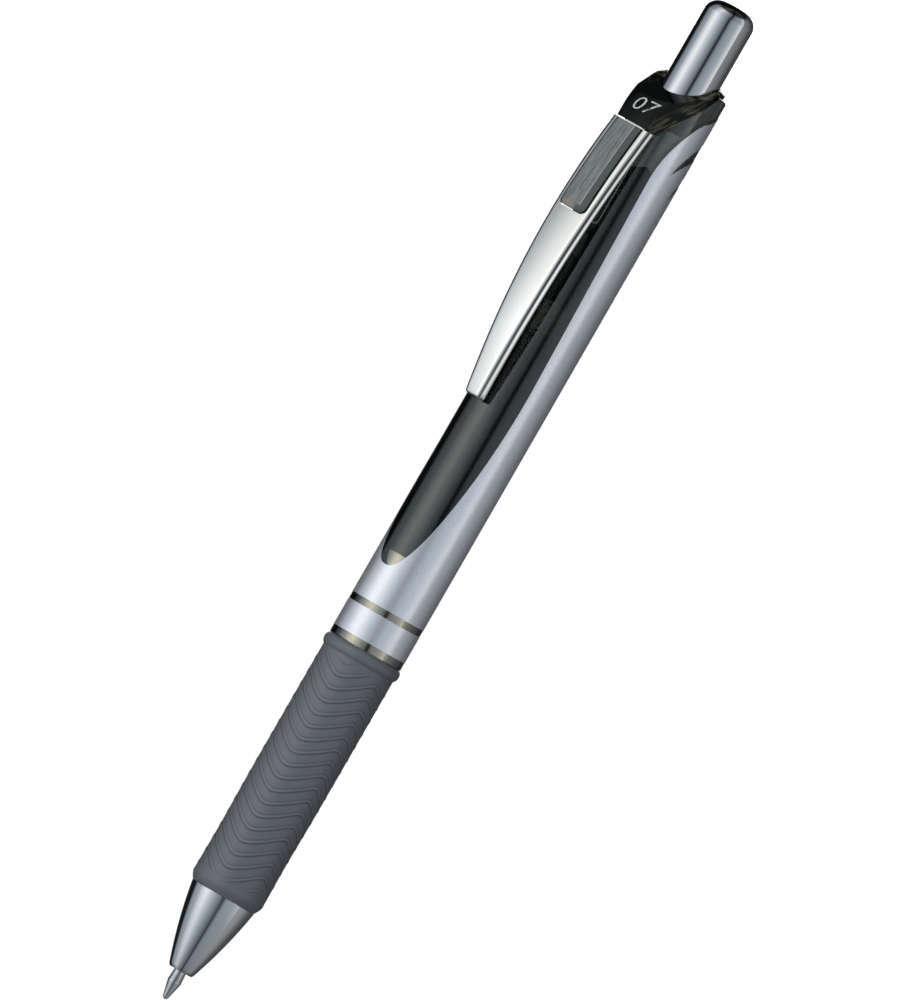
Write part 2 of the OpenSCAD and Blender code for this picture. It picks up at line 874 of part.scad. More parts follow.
module writing_tip() {
    shank_r = shank_d / 2;
    color([0.72, 0.73, 0.75])
        difference() {
            rotate_extrude()
                polygon([[0, ball_out], [lip_r, ball_out], [shoulder_d / 2, shoulder_z],
                         [shank_r, shoulder_z + shank_taper], [shank_r, tip_len], [0, tip_len]]);
            translate([0, 0, ball_r])
                sphere(ball_r + ball_gap);
            rod(channel_d / 2, ball_r, tip_len + past);
        }
}

module tip_ball() {
    color([0.6, 0.61, 0.63])
        translate([0, 0, ball_r])
            sphere(ball_r);
}

module gel_ink() {
    color([0.02, 0.02, 0.03])
        rod(tube_in - film_gap, ink_z, follower_z);
}

module ink_follower() {
    color([0.85, 0.82, 0.7, 0.6])
        rod(tube_in - film_gap, follower_z, follower_z + follower_len);
}

module tail_plug() {
    color([0.2, 0.2, 0.21])
        difference() {
            union() {
                rod(tube_in, tail_z - tail_hold, tail_z);
                rod(tube_r, tail_z, refill_len);
            }
            rod(vent_d / 2, tail_z - tail_hold - past, refill_len + past);
        }
}

barrel();
front_section();
silver_coat();
grip_sleeve();
nose_cone();
top_collar();
clip();
clip_insert();
clip_foot();
knob();
thrust_cam();
rotor();
cam_sleeve();
return_spring();
refill_tube();
tip_holder();
writing_tip();
tip_ball();
gel_ink();
ink_follower();
tail_plug();
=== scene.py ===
import bpy
import bmesh
import math
from mathutils import Matrix, Vector


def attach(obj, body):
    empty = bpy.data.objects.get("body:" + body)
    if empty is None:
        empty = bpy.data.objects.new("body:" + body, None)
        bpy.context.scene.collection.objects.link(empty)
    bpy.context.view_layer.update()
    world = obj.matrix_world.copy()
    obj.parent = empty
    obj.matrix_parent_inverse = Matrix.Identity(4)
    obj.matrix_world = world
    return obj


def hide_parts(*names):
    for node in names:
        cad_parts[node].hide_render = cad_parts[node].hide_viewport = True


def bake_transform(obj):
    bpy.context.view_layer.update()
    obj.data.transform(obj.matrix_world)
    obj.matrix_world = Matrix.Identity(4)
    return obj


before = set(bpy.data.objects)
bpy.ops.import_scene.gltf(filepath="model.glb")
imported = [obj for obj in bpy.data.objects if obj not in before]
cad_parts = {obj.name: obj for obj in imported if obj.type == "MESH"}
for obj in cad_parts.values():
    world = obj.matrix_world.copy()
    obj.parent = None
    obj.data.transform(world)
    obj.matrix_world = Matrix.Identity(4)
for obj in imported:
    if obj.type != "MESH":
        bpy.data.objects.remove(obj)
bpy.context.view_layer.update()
scene = bpy.context.scene
mm = 0.001   # the sizes below are in millimetres
print("frame loaded:", len(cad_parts), "nodes")


# small tools

def linear(code):
    parts = [int(code[i:i + 2], 16) / 255 for i in (1, 3, 5)]   # sRGB hex to linear
    return [c / 12.92 if c <= 0.04045 else ((c + 0.055) / 1.055) ** 2.4 for c in parts] + [1.0]


def addNode(tree, kind, settings=None, links=None, stops=()):
    # stops are for a colour ramp: position and colour
    node = tree.nodes.new(kind)
    for name, value in (settings or {}).items():
        if isinstance(name, str) and hasattr(node, name):
            setattr(node, name, value)
        else:
            node.inputs[name].default_value = value
    for name, source in (links or {}).items():
        tree.links.new(source, node.inputs[name])
    if stops:
        while len(node.color_ramp.elements) < len(stops):
            node.color_ramp.elements.new(0.5)
        for element, (position, colour) in zip(node.color_ramp.elements, stops):
            element.position, element.color = position, colour
    return node


def startMaterial(name, settings):
    material = bpy.data.materials.new(name)
    material.use_nodes = True
    tree = material.node_tree
    shader = tree.nodes["Principled BSDF"]
    for socket, value in settings.items():
        shader.inputs[socket].default_value = value
    place = addNode(tree, "ShaderNodeTexCoord").outputs["Object"]
    return material, tree, shader, place


def mottle(tree, shader, source, tones=None, gloss=None, spread=(0, 1), cloud=None):
    # one pattern moves the colour between two tones and the roughness between two values;
    # the pattern may be a cloud, given by the size of its patches in millimetres and its detail
    if cloud:
        source = addNode(tree, "ShaderNodeTexNoise", {"Scale": 1 / (cloud[0] * mm), "Detail": cloud[1]},
                         {"Vector": source}).outputs["Fac"]
    if gloss:
        rough = addNode(tree, "ShaderNodeMapRange", {"To Min": gloss[0], "To Max": gloss[1]}, {"Value": source})
        tree.links.new(rough.outputs[0], shader.inputs["Roughness"])
    if tones:
        tone = addNode(tree, "ShaderNodeValToRGB", links={"Fac": source},
                       stops=[(at, linear(code)) for at, code in zip(spread, tones)])
        tree.links.new(tone.outputs[0], shader.inputs["Base Color"])
        return tone.outputs[0]


def lathe(outline, steps, closed=True):
    # an outline of (radius, height), spun right round the pen's axis
    bm = bmesh.new()
    corners = [bm.verts.new((r * mm, 0, z * mm)) for r, z in outline]
    for a, b in zip(corners, corners[1:] + (corners[:1] if closed else [])):
        bm.edges.new((a, b))
    bmesh.ops.spin(bm, geom=bm.verts[:] + bm.edges[:], cent=(0, 0, 0), axis=(0, 0, 1),
                   angle=2 * math.pi, steps=steps, use_merge=True)
    bmesh.ops.remove_doubles(bm, verts=bm.verts[:], dist=1e-7)
    bmesh.ops.recalc_face_normals(bm, faces=bm.faces[:])
    return bm


def arc(centre, radius, first, last, steps):
    # points of an arc in the (radius, height) plane, angles in degrees
    turns = [math.radians(first + (last - first) * i / steps) for i in range(steps + 1)]
    return [(centre[0] + radius * math.cos(a), centre[1] + radius * math.sin(a)) for a in turns]


def onlyVerts(geom):
    return [g for g in geom if isinstance(g, bmesh.types.BMVert)]


def prism(points, low, high, place):
    # a flat outline drawn through, with place(u, v, depth) giving the corner in millimetres
    bm = bmesh.new()
    face = bm.faces.new([bm.verts.new(Vector(place(u, v, low)) * mm) for u, v in points])
    drawn = bmesh.ops.extrude_face_region(bm, geom=[face])["geom"]
    step = (Vector(place(0, 0, high)) - Vector(place(0, 0, low))) * mm
    bmesh.ops.translate(bm, verts=onlyVerts(drawn), vec=step)
    bmesh.ops.recalc_face_normals(bm, faces=bm.faces[:])
    return bm


def rod(radius, low, high, facets):
    bm = bmesh.new()
    bmesh.ops.create_cone(bm, cap_ends=True, segments=facets, radius1=radius * mm, radius2=radius * mm,
                          depth=(high - low) * mm)
    bmesh.ops.translate(bm, verts=bm.verts[:], vec=(0, 0, (low + high) / 2 * mm))
    return bm


def block(low, high):
    bm = bmesh.new()
    bmesh.ops.create_cube(bm, size=1)
    bmesh.ops.scale(bm, verts=bm.verts[:], vec=(Vector(high) - Vector(low)) * mm)
    bmesh.ops.translate(bm, verts=bm.verts[:], vec=(Vector(high) + Vector(low)) / 2 * mm)
    return bm


def cutFlat(bm, point, normal, keepAbove=False, hollow=False):
    # cuts a closed form by a plane and closes the cut, as a ring where the form is a whole tube there
    bmesh.ops.bisect_plane(bm, geom=bm.verts[:] + bm.edges[:] + bm.faces[:], dist=1e-8,
                           plane_co=Vector(point) * mm, plane_no=normal,
                           clear_outer=not keepAbove, clear_inner=keepAbove)
    rim = [e for e in bm.edges if e.is_boundary]
    if hollow:
        bmesh.ops.bridge_loops(bm, edges=rim)
    else:
        bmesh.ops.edgeloop_fill(bm, edges=rim)
    bmesh.ops.recalc_face_normals(bm, faces=bm.faces[:])
    return bm


def bake(bm, name="blank"):
    mesh = bpy.data.meshes.new(name)
    bm.to_mesh(mesh)
    bm.free()
    blank = bpy.data.objects.new(name, mesh)
    scene.collection.objects.link(blank)
    return blank


def applied(blank):
    # the form with its modifiers, as a fresh bmesh
    bpy.context.view_layer.update()
    mesh = bpy.data.meshes.new_from_object(blank.evaluated_get(bpy.context.evaluated_depsgraph_get()))
    bm = bmesh.new()
    bm.from_mesh(mesh)
    bpy.data.meshes.remove(mesh)
    bpy.data.objects.remove(blank)
    return bm


def carve(bm, tool, operation="DIFFERENCE"):
    blank, cutter = bake(bm), bake(tool, "cutter")
    cut = blank.modifiers.new("carve", "BOOLEAN")
    cut.object, cut.operation, cut.solver = cutter, operation, "EXACT"
    done = applied(blank)
    bpy.data.objects.remove(cutter)
    bmesh.ops.remove_doubles(done, verts=done.verts[:], dist=2e-7)
    return done


def addForm(bm, extra):
    strip = bake(extra)
    bm.from_mesh(strip.data)
    bpy.data.objects.remove(strip)


def finishPiece(name, bm, materials, body, nodes=(), sharp=32):
    piece = bake(bm, name)
    for material in materials:
        piece.data.materials.append(material)
    piece.data.shade_smooth()
    piece.data.set_sharp_from_angle(angle=math.radians(sharp))
    if body:
        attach(piece, body)
    if nodes:
        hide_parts(*nodes)
    return piece


# studio: the photo looks level at the pen, 40 degrees round from its clip, with the camera rolled 30 degrees
studio = {"turn": 40, "roll": 29.96, "lens": 600, "sensor": 36, "middle": 73.35, "aside": 0.78, "tall": 126.64,
          "floor": -27, "floorReach": 420, "boxLean": 15, "levelShare": 0.83, "veil": 0.97,
          "lessRed": 0.155, "moreBlue": 0.17}
turn, roll = math.radians(studio["turn"]), math.radians(studio["roll"])
across = Vector((math.cos(turn), math.sin(turn), 0))
back = Vector((math.sin(turn), -math.cos(turn), 0))
upright = Vector((0, 0, 1))
right = math.sin(roll) * upright + math.cos(roll) * across
top = math.cos(roll) * upright - math.sin(roll) * across
lens = bpy.data.cameras.new("camera")
lens.lens, lens.sensor_width = studio["lens"], studio["sensor"]
lens.clip_start, lens.clip_end = 0.05, 50
camera = bpy.data.objects.new("camera", lens)
target = (upright * studio["middle"] + across * studio["aside"]) * mm
camera.matrix_world = Matrix((right, top, back)).transposed().to_4x4()
camera.location = target + back * studio["tall"] * mm * studio["lens"] / studio["sensor"]
scene.collection.objects.link(camera)
scene.camera = camera

# light boxes and dark flags stand round the pen: angle from the camera (left is negative), then the brightness
# at the pen's height and the brightness from below
flags = [(-180, .06, .06), (-160, .06, .06), (-154, .01, .02), (-121, .01, .02), (-115, .17, .28),
         (-108, .34, .37), (-90, .48, .48), (-77, .9, .78), (-62, 1.28, .98), (-55, 1.26, .97), (-40, .84, .7),
         (-22, .46, .42), (-7, .24, .25), (-3, .1, .2), (0, .045, .14), (5, .045, .09), (8, .16, .07),
         (12, .31, .25), (20, .4, .38), (45, .56, .4), (60, .9, .39), (67, 1.05, .4), (71, .34, .4),
         (93, .27, .33), (106, .2, .2), (121, .1, .1), (154, .05, .05), (160, .06, .06), (180, .06, .06)]
# how bright the boxes are by how far up one looks; they end overhead, so the top of the knob stays dark
heights = [(-1, .25), (-.7, .5), (-.42, .83), (-.25, .96), (-.1, 1), (0, .83), (.15, .73), (.3, .64), (.62, .66),
           (.72, .5), (.8, .06), (1, .05)]
brightest = max(flag[1] for flag in flags)


def boxColour(degrees, level):
    cool = (1 - level / brightest) * (1 if degrees < 50 else 0.3)   # what is dim is bluer
    tint = Vector((1 - studio["lessRed"] * cool, 1, 1 + studio["moreBlue"] * cool))
    return (*(tint * (level / brightest)), 1)


world = bpy.data.worlds.new("studio")
scene.world = world
world.use_nodes = True
tree = world.node_tree
tree.nodes.clear()
way = addNode(tree, "ShaderNodeTexCoord").outputs["Generated"]
axes = addNode(tree, "ShaderNodeSeparateXYZ", links={"Vector": way}).outputs
ahead = addNode(tree, "ShaderNodeMath", {"operation": "MULTIPLY", 1: -1}, {0: axes["Y"]})
angle = addNode(tree, "ShaderNodeMath", {"operation": "ARCTAN2"}, {0: axes["X"], 1: ahead.outputs[0]})
turned = addNode(tree, "ShaderNodeMath", {"operation": "MULTIPLY_ADD", 1: 0.5 / math.pi,
                 2: 0.5 - studio["turn"] / 360}, {0: angle.outputs[0]})
over = addNode(tree, "ShaderNodeMath", {"operation": "MAXIMUM", 1: 0.0}, {0: axes["Z"]})
leaned = addNode(tree, "ShaderNodeMath", {"operation": "MULTIPLY_ADD", 1: -studio["boxLean"] / 360},
                 {0: over.outputs[0], 2: turned.outputs[0]})   # the boxes lean as they rise
share = addNode(tree, "ShaderNodeMath", {"operation": "WRAP", 1: 1.0, 2: 0.0}, {0: leaned.outputs[0]}).outputs[0]
level = addNode(tree, "ShaderNodeValToRGB", links={"Fac": share},
                stops=[((flag[0] + 180) / 360, boxColour(flag[0], flag[1])) for flag in flags])
below = addNode(tree, "ShaderNodeValToRGB", links={"Fac": share},
                stops=[((flag[0] + 180) / 360, boxColour(flag[0], flag[2])) for flag in flags])
sink = addNode(tree, "ShaderNodeMapRange", {"From Min": -0.12, "From Max": -0.4}, {"Value": axes["Z"]})
boxes = addNode(tree, "ShaderNodeMix", {"data_type": "RGBA"},
                {0: sink.outputs[0], 6: level.outputs[0], 7: below.outputs[0]})
rise = addNode(tree, "ShaderNodeMath", {"operation": "MULTIPLY_ADD", 1: 0.5, 2: 0.5}, {0: axes["Z"]})
risen = addNode(tree, "ShaderNodeValToRGB", links={"Fac": rise.outputs[0]},
                stops=[(0.5 + h / 2, (v, v, v, 1)) for h, v in heights])
path = addNode(tree, "ShaderNodeLightPath")
dark, bright = (0, 0, 0, 1), (1, 1, 1, 1)
behind = addNode(tree, "ShaderNodeValToRGB", links={"Fac": share},
                 stops=[(0, bright), (0.07, bright), (0.09, dark), (0.91, dark), (0.93, bright), (1, bright)])
veil = addNode(tree, "ShaderNodeMath", {"operation": "MULTIPLY"},   # the clear parts see no box behind the pen
               {0: path.outputs["Is Transmission Ray"], 1: behind.outputs[0]})
power = brightest / studio["levelShare"]
shade = addNode(tree, "ShaderNodeMath", {"operation": "MULTIPLY_ADD", 1: -studio["veil"] * power, 2: power},
                {0: veil.outputs[0]})
strength = addNode(tree, "ShaderNodeMath", {"operation": "MULTIPLY"}, {0: risen.outputs[0], 1: shade.outputs[0]})
ring = addNode(tree, "ShaderNodeBackground", links={"Color": boxes.outputs[2], "Strength": strength.outputs[0]})
paper = addNode(tree, "ShaderNodeBackground", {"Color": bright, "Strength": 1.0})
seen = addNode(tree, "ShaderNodeMixShader", links={0: path.outputs["Is Camera Ray"],
               1: ring.outputs[0], 2: paper.outputs[0]})
addNode(tree, "ShaderNodeOutputWorld", links={"Surface": seen.outputs[0]})

lamps = {"key": {"angle": -38, "high": 0.25, "away": 0.9, "size": 0.6, "power": 4.4, "colour": (1, 0.99, 0.97)},
         "fill": {"angle": 12, "high": 0.2, "away": 0.9, "size": 0.6, "power": 0.9, "colour": (0.82, 0.95, 1.2)},
         "rear": {"angle": 180, "high": 0.35, "away": 1.0, "size": 0.7, "power": 3.4, "colour": (1, 1, 1)}}
for name, lamp in lamps.items():
    light = bpy.data.lights.new(name, "AREA")
    light.shape, light.size, light.energy = "DISK", lamp["size"], lamp["power"]
    light.color = lamp["colour"]
    holder = bpy.data.objects.new(name, light)
    around = turn + math.radians(lamp["angle"])
    holder.location = Vector((math.sin(around) * lamp["away"], -math.cos(around) * lamp["away"],
                              target.z + lamp["high"]))
    holder.rotation_euler = (holder.location - target).to_track_quat("Z", "Y").to_euler()
    holder.visible_glossy = name == "rear"   # the boxes above give the reflections in front
    holder.visible_transmission = False
    scene.collection.objects.link(holder)

# plain pale floor: white to the camera, and it keeps the pen's shadow
paperFloor, tree, shader, place = startMaterial("paperFloor", {
    "Base Color": linear("#e8e8e8"), "Roughness": 0.9, "Specular IOR Level": 0.0, "Emission Color": bright})
lit = addNode(tree, "ShaderNodeMath", {"operation": "MULTIPLY", 1: 0.8},
              {0: addNode(tree, "ShaderNodeLightPath").outputs["Is Camera Ray"]})
tree.links.new(lit.outputs[0], shader.inputs["Emission Strength"])
fromMiddle = addNode(tree, "ShaderNodeVectorMath", {"operation": "LENGTH"}, {0: place})
fade = addNode(tree, "ShaderNodeMapRange", {"From Min": studio["floorReach"] * 0.45 * mm,
               "From Max": studio["floorReach"] * 0.98 * mm, "To Min": 1.0, "To Max": 0.0},
               {"Value": fromMiddle.outputs["Value"]})
tree.links.new(fade.outputs[0], shader.inputs["Alpha"])
bm = bmesh.new()
bmesh.ops.create_circle(bm, cap_ends=True, segments=96, radius=studio["floorReach"] * mm)
bmesh.ops.translate(bm, verts=bm.verts[:], vec=(0, 0, studio["floor"] * mm))
floor = bake(bm, "floor")
floor.data.materials.append(paperFloor)
floor.visible_glossy = floor.visible_transmission = False
scene.view_settings.view_transform = "Standard"
print("studio set")


# materials

# clear smoke-grey styrene, moulded and polished: dark depth with sharp reflections
smokeStyrene, tree, shader, place = startMaterial("smokeStyrene", {
    "Base Color": linear("#f4f6f4"), "IOR": 1.35, "Transmission Weight": 1.0, "Coat IOR": 1.77,
    "Specular Tint": linear("#e6f5ec")})
polishedFrom = 4.8   # only the outside is polished, beyond this radius
axes = addNode(tree, "ShaderNodeSeparateXYZ", links={"Vector": place}).outputs
level = addNode(tree, "ShaderNodeCombineXYZ", links={"X": axes["X"], "Y": axes["Y"]})
radius = addNode(tree, "ShaderNodeVectorMath", {"operation": "LENGTH"}, {0: level.outputs[0]})
skin = addNode(tree, "ShaderNodeMath", {"operation": "GREATER_THAN", 1: polishedFrom * mm},
               {0: radius.outputs["Value"]})
tree.links.new(skin.outputs[0], shader.inputs["Coat Weight"])
mottle(tree, shader, place, gloss=(0.015, 0.05), cloud=(6, 2))
depth = addNode(tree, "ShaderNodeVolumeAbsorption", {"Color": linear("#9aa89f"), "Density": 400.0})
tree.links.new(depth.outputs[0], tree.nodes["Material Output"].inputs["Volume"])

# the slanted seam between the barrel and the end cap
seam = {"point": (0, -5.16, 125.6), "slope": 56.6, "room": 0.02}
slant = math.radians(seam["slope"])
seamUp = Vector((0, -math.sin(slant), math.cos(slant)))
seamHeight = seamUp.dot(Vector(seam["point"]))

# black smoke styrene of the end cap: a deep gloss black, with painted olive glints in streaks where it thins towards
# the seam
blackStyrene, tree, shader, place = startMaterial("blackStyrene", {"IOR": 1.27, "Specular Tint": linear("#dff0e6")})
glintStreaks = {"from": 2.2, "full": 0.4, "wide": 0.45, "cheekFrom": 2.5, "cheekFull": 3.2}
seamAway = addNode(tree, "ShaderNodeVectorMath", {"operation": "DOT_PRODUCT", 1: seamUp}, {0: place})
thin = addNode(tree, "ShaderNodeMapRange", {"From Min": (seamHeight + glintStreaks["from"]) * mm,
               "From Max": (seamHeight + glintStreaks["full"]) * mm}, {"Value": seamAway.outputs["Value"]})
alongSeam = addNode(tree, "ShaderNodeMapping", {"Rotation": (-slant, 0, 0)}, {"Vector": place})
drawn = addNode(tree, "ShaderNodeMapping", {"Scale": (0.5, 0.1, 1)}, {"Vector": alongSeam.outputs[0]})
glintNoise = addNode(tree, "ShaderNodeTexNoise", {"Scale": 1 / (glintStreaks["wide"] * mm), "Detail": 2},
                 {"Vector": drawn.outputs[0]})
glintMarked = addNode(tree, "ShaderNodeMapRange", {"From Min": 0.48, "From Max": 0.66}, {"Value": glintNoise.outputs["Fac"]})
axes = addNode(tree, "ShaderNodeSeparateXYZ", links={"Vector": place}).outputs
sideways = addNode(tree, "ShaderNodeMath", {"operation": "ABSOLUTE"}, {0: axes["X"]})
cheek = addNode(tree, "ShaderNodeMapRange", {"From Min": glintStreaks["cheekFrom"] * mm,
                "From Max": glintStreaks["cheekFull"] * mm}, {"Value": sideways.outputs[0]})
near = addNode(tree, "ShaderNodeMath", {"operation": "MULTIPLY"}, {0: thin.outputs[0], 1: glintMarked.outputs[0]})
glintShown = addNode(tree, "ShaderNodeMath", {"operation": "MULTIPLY"}, {0: near.outputs[0], 1: cheek.outputs[0]})
# the olive tone is a painted glint, where light would come through the thin plastic
tone = addNode(tree, "ShaderNodeMix", {"data_type": "RGBA", 6: linear("#030705"), 7: linear("#655d4a")},
               {0: glintShown.outputs[0]})
tree.links.new(tone.outputs[2], shader.inputs["Base Color"])
mottle(tree, shader, place, gloss=(0.02, 0.06), cloud=(5, 2))

# pearl silver lacquer: fine flakes under a clear coat, so broad bright bands with a slight sparkle
pearlSilver, tree, shader, place = startMaterial("pearlSilver", {"Metallic": 0.75, "Coat Weight": 0.35,
                                                 "Coat Roughness": 0.12})
flake = addNode(tree, "ShaderNodeTexVoronoi", {"Scale": 1 / (0.16 * mm)}, {"Vector": place})   # flakes drawn coarse
mottle(tree, shader, flake.outputs["Color"], ("#dfe3ea", "#eff1f5"))
mottle(tree, shader, place, gloss=(0.27, 0.34), cloud=(0.5, 3))
grain = addNode(tree, "ShaderNodeBump", {"Strength": 0.05, "Distance": 0.02 * mm},
                {"Height": flake.outputs["Distance"]})
tree.links.new(grain.outputs[0], shader.inputs["Normal"])

# near-black inner face of the lacquer: painted shade, standing for the dark inside of the tube seen through the smoke
insideShade, tree, shader, place = startMaterial("insideShade", {"Roughness": 0.5})
mottle(tree, shader, place, ("#0c0f0e", "#161a18"), cloud=(1.5, 3))

# tan pearl styrene of the inner tube: shows as a bright tan line behind the smoke
tanPearl, tree, shader, place = startMaterial("tanPearl", {"Metallic": 1.0})
mottle(tree, shader, place, ("#f0dcc8", "#f8e8d6"), (0.06, 0.1), cloud=(2, 3))

# moulded silicone rubber: matt grey with a soft sheen, with painted shade in the creases and a painted highlight on
# the ribs' lips
gripRubber, tree, shader, place = startMaterial("gripRubber", {"IOR": 1.5, "Specular IOR Level": 0.7})
tone = mottle(tree, shader, place, ("#585c60", "#62666a"), (0.38, 0.5), cloud=(0.9, 4))
crease = addNode(tree, "ShaderNodeAttribute", {"attribute_name": "crease"}).outputs["Fac"]
creaseShade = addNode(tree, "ShaderNodeMix", {"data_type": "RGBA", 7: linear("#3a3d40")}, {0: crease, 6: tone})
lip = addNode(tree, "ShaderNodeAttribute", {"attribute_name": "lip"}).outputs["Fac"]
lipHighlight = addNode(tree, "ShaderNodeMix", {"data_type": "RGBA", 7: linear("#72777c")}, {0: lip, 6: creaseShade.outputs[2]})
tree.links.new(lipHighlight.outputs[2], shader.inputs["Base Color"])
pores = addNode(tree, "ShaderNodeTexNoise", {"Scale": 1 / (0.12 * mm), "Detail": 2}, {"Vector": place})
grain = addNode(tree, "ShaderNodeBump", {"Strength": 0.08, "Distance": 0.02 * mm}, {"Height": pores.outputs["Fac"]})
tree.links.new(grain.outputs[0], shader.inputs["Normal"])

# bright chrome plate on brass and on ABS: a mirror with a faint haze
chromePlate, tree, shader, place = startMaterial("chromePlate", {"Metallic": 1.0})
mottle(tree, shader, place, ("#cfd1d3", "#d5d7d9"), (0.04, 0.08), cloud=(2.5, 3))

# satin stainless sheet of the clip: brushed along its length, so soft broad reflections
satinSteel, tree, shader, place = startMaterial("satinSteel", {"Metallic": 1.0})
along = addNode(tree, "ShaderNodeMapping", {"Scale": (1, 1, 0.03)}, {"Vector": place})
mottle(tree, shader, along.outputs[0], ("#efede6", "#f8f6f0"), (0.07, 0.11), cloud=(0.08, 3))

# the clip's inside, left dull from the rolling mill and drawn dark grey as painted shade, so it stays dark over the
# window
dullSteelAndShade, tree, shader, place = startMaterial("dullSteelAndShade", {"Metallic": 1.0})
mottle(tree, shader, place, ("#626462", "#747674"), (0.4, 0.55), cloud=(0.4, 3))

# grey clear styrene of the clip's insert: streaked by the mould's flow
greyStyrene, tree, shader, place = startMaterial("greyStyrene", {"IOR": 1.57, "Transmission Weight": 0.35,
                                                 "Roughness": 0.12})
along = addNode(tree, "ShaderNodeMapping", {"Scale": (1, 1, 0.06)}, {"Vector": place})
panelTone = mottle(tree, shader, along.outputs[0], ("#747d7b", "#909896"), spread=(0.35, 0.65), cloud=(0.35, 3))
panelAxes = addNode(tree, "ShaderNodeSeparateXYZ", links={"Vector": place}).outputs
panelTree = tree


def addPaintedLight(under, axis, start, full, colour, most):
    # painted light or shade laid over part of the panel, growing from start to full along one axis in millimetres
    zone = addNode(panelTree, "ShaderNodeMapRange", {"From Min": start * mm, "From Max": full * mm, "To Max": most},
                   {"Value": panelAxes[axis]})
    return addNode(panelTree, "ShaderNodeMix", {"data_type": "RGBA", 7: linear(colour)},
                   {0: zone.outputs[0], 6: under}).outputs[2]


edgeHighlight = addPaintedLight(panelTone, "X", 0.74, 0.86, "#b4bbb9", 0.8)   # painted highlight: a light line where the raised plate ends
marginShade = addPaintedLight(edgeHighlight, "X", 0.92, 1.0, "#4f5753", 1.0)   # and painted shade on the margin beyond it
lowGlint = addPaintedLight(panelTone, "X", 0.1, -0.3, "#a4947a", 0.6)
lowShade = addPaintedLight(lowGlint, "X", 0.0, 0.5, "#3d4542", 0.8)   # a painted glint on the low end's left, and painted shade to its right
lowPart = addNode(tree, "ShaderNodeMapRange", {"From Min": 113.35 * mm, "From Max": 113.05 * mm},
                  {"Value": panelAxes["Z"]})
whole = addNode(tree, "ShaderNodeMix", {"data_type": "RGBA"}, {0: lowPart.outputs[0], 6: marginShade, 7: lowShade})
tree.links.new(whole.outputs[2], shader.inputs["Base Color"])

# moulded black acetal: satin black
blackAcetal, tree, shader, place = startMaterial("blackAcetal", {"IOR": 1.48})
mottle(tree, shader, place, ("#0d0f0f", "#191b1b"), (0.3, 0.45), cloud=(0.7, 3))

# natural acetal of the click mechanism: pale grey and waxy
camAcetal, tree, shader, place = startMaterial("camAcetal", {"IOR": 1.48})
mottle(tree, shader, place, ("#c2c5be", "#d0d3cc"), (0.25, 0.38), cloud=(1.2, 3))

# clear extruded polypropylene of the refill: a slightly hazy tube
clearTube, tree, shader, place = startMaterial("clearTube", {"Base Color": linear("#eef1f0"), "IOR": 1.25,
                                               "Transmission Weight": 1.0})
mottle(tree, shader, place, gloss=(0.05, 0.12), cloud=(1.5, 2))

# wet black gel: near black with a wet gloss
blackGel, tree, shader, place = startMaterial("blackGel", {"IOR": 1.25, "Roughness": 0.12})
mottle(tree, shader, place, ("#040506", "#0a0b0d"), cloud=(2, 2))

# clear grease behind the ink: pale amber
clearGrease, tree, shader, place = startMaterial("clearGrease", {"IOR": 1.46, "Transmission Weight": 0.7,
                                                 "Roughness": 0.2})
mottle(tree, shader, place, ("#cdbb8c", "#dccda4"), cloud=(1, 2))

# turned stainless of the tip and the ball: fine rings from the lathe
turnedSteel, tree, shader, place = startMaterial("turnedSteel", {"Metallic": 1.0})
rings = addNode(tree, "ShaderNodeTexWave", {"bands_direction": "Z", "Scale": 1 / (0.5 * mm), "Distortion": 0.6},
                {"Vector": place})
mottle(tree, shader, rings.outputs["Fac"], ("#bdbfc0", "#d2d3d4"), (0.16, 0.26))

# drawn spring wire: bright with fine draw lines
springWire, tree, shader, place = startMaterial("springWire", {"Metallic": 1.0})
mottle(tree, shader, place, ("#aeb0b2", "#cdcfd0"), (0.18, 0.3), cloud=(0.3, 3))

# grey pad-printing ink of the size mark: flat and a little uneven
printInk, tree, shader, place = startMaterial("printInk", {"Roughness": 0.45})
mottle(tree, shader, place, ("#a9adad", "#bcc0c0"), cloud=(0.3, 2))
print("materials mixed")


# barrel: a smoke tube whose top is cut on the slant for the collar
barrel = {"outer": 5.13, "bore": 4.215, "low": 50.87, "top": 133.85, "seat": 4.515, "seatLow": 126.98,
          "chamfer": 0.08, "edge": 0.4, "facets": 240}
outline = [(barrel["bore"], barrel["low"]), (barrel["outer"] - barrel["chamfer"], barrel["low"]),
           (barrel["outer"], barrel["low"] + barrel["chamfer"])]
outline += arc((barrel["outer"] - barrel["edge"], barrel["top"] - barrel["edge"]), barrel["edge"], 0, 90, 8)
outline += [(barrel["seat"], barrel["top"]), (barrel["seat"], barrel["seatLow"]), (barrel["bore"], barrel["seatLow"])]
bm = cutFlat(lathe(outline, barrel["facets"]), seam["point"], seamUp)
finishPiece("barrel_tube", bm, [smokeStyrene], "barrel", ["barrel"])

# silver coat: a thin skin with the long window, the slanted top and the tapered stripes left bare
coat = {"outer": 5.16, "inner": 5.135, "low": 56.7, "blankTop": 133.8, "sideTop": 129.75, "slope": 28,
        "bandLow": 51.95, "bandHigh": 55.75, "round": 0.01, "clear": 6.5, "facets": 360}
window = {"point": 61.7, "rise": 27.6, "half": 4.56, "full": 2.2, "sharp": 0.4, "waist": 4.24, "waistZ": 120.0,
          "flare": 9.9, "flareOut": 0.95, "flareRise": 10.6, "flareSharp": 1.25, "past": 0.1, "steps": 48}
stripe = {"fore": -0.72, "pointZ": 122.2, "stepDown": 3.0, "stepBack": 2.0, "highR": 8.73, "highLean": 11.8,
          "lowR": 8.1, "lowLean": 33.1, "spine": 1.5, "reach": 6.2}


def ringSkin(low, high):
    inner, outer, soft = coat["inner"], coat["outer"], coat["round"]
    return [(inner, low), (outer - soft, low), (outer, low + soft), (outer, high - soft), (outer - soft, high),
            (inner, high)]


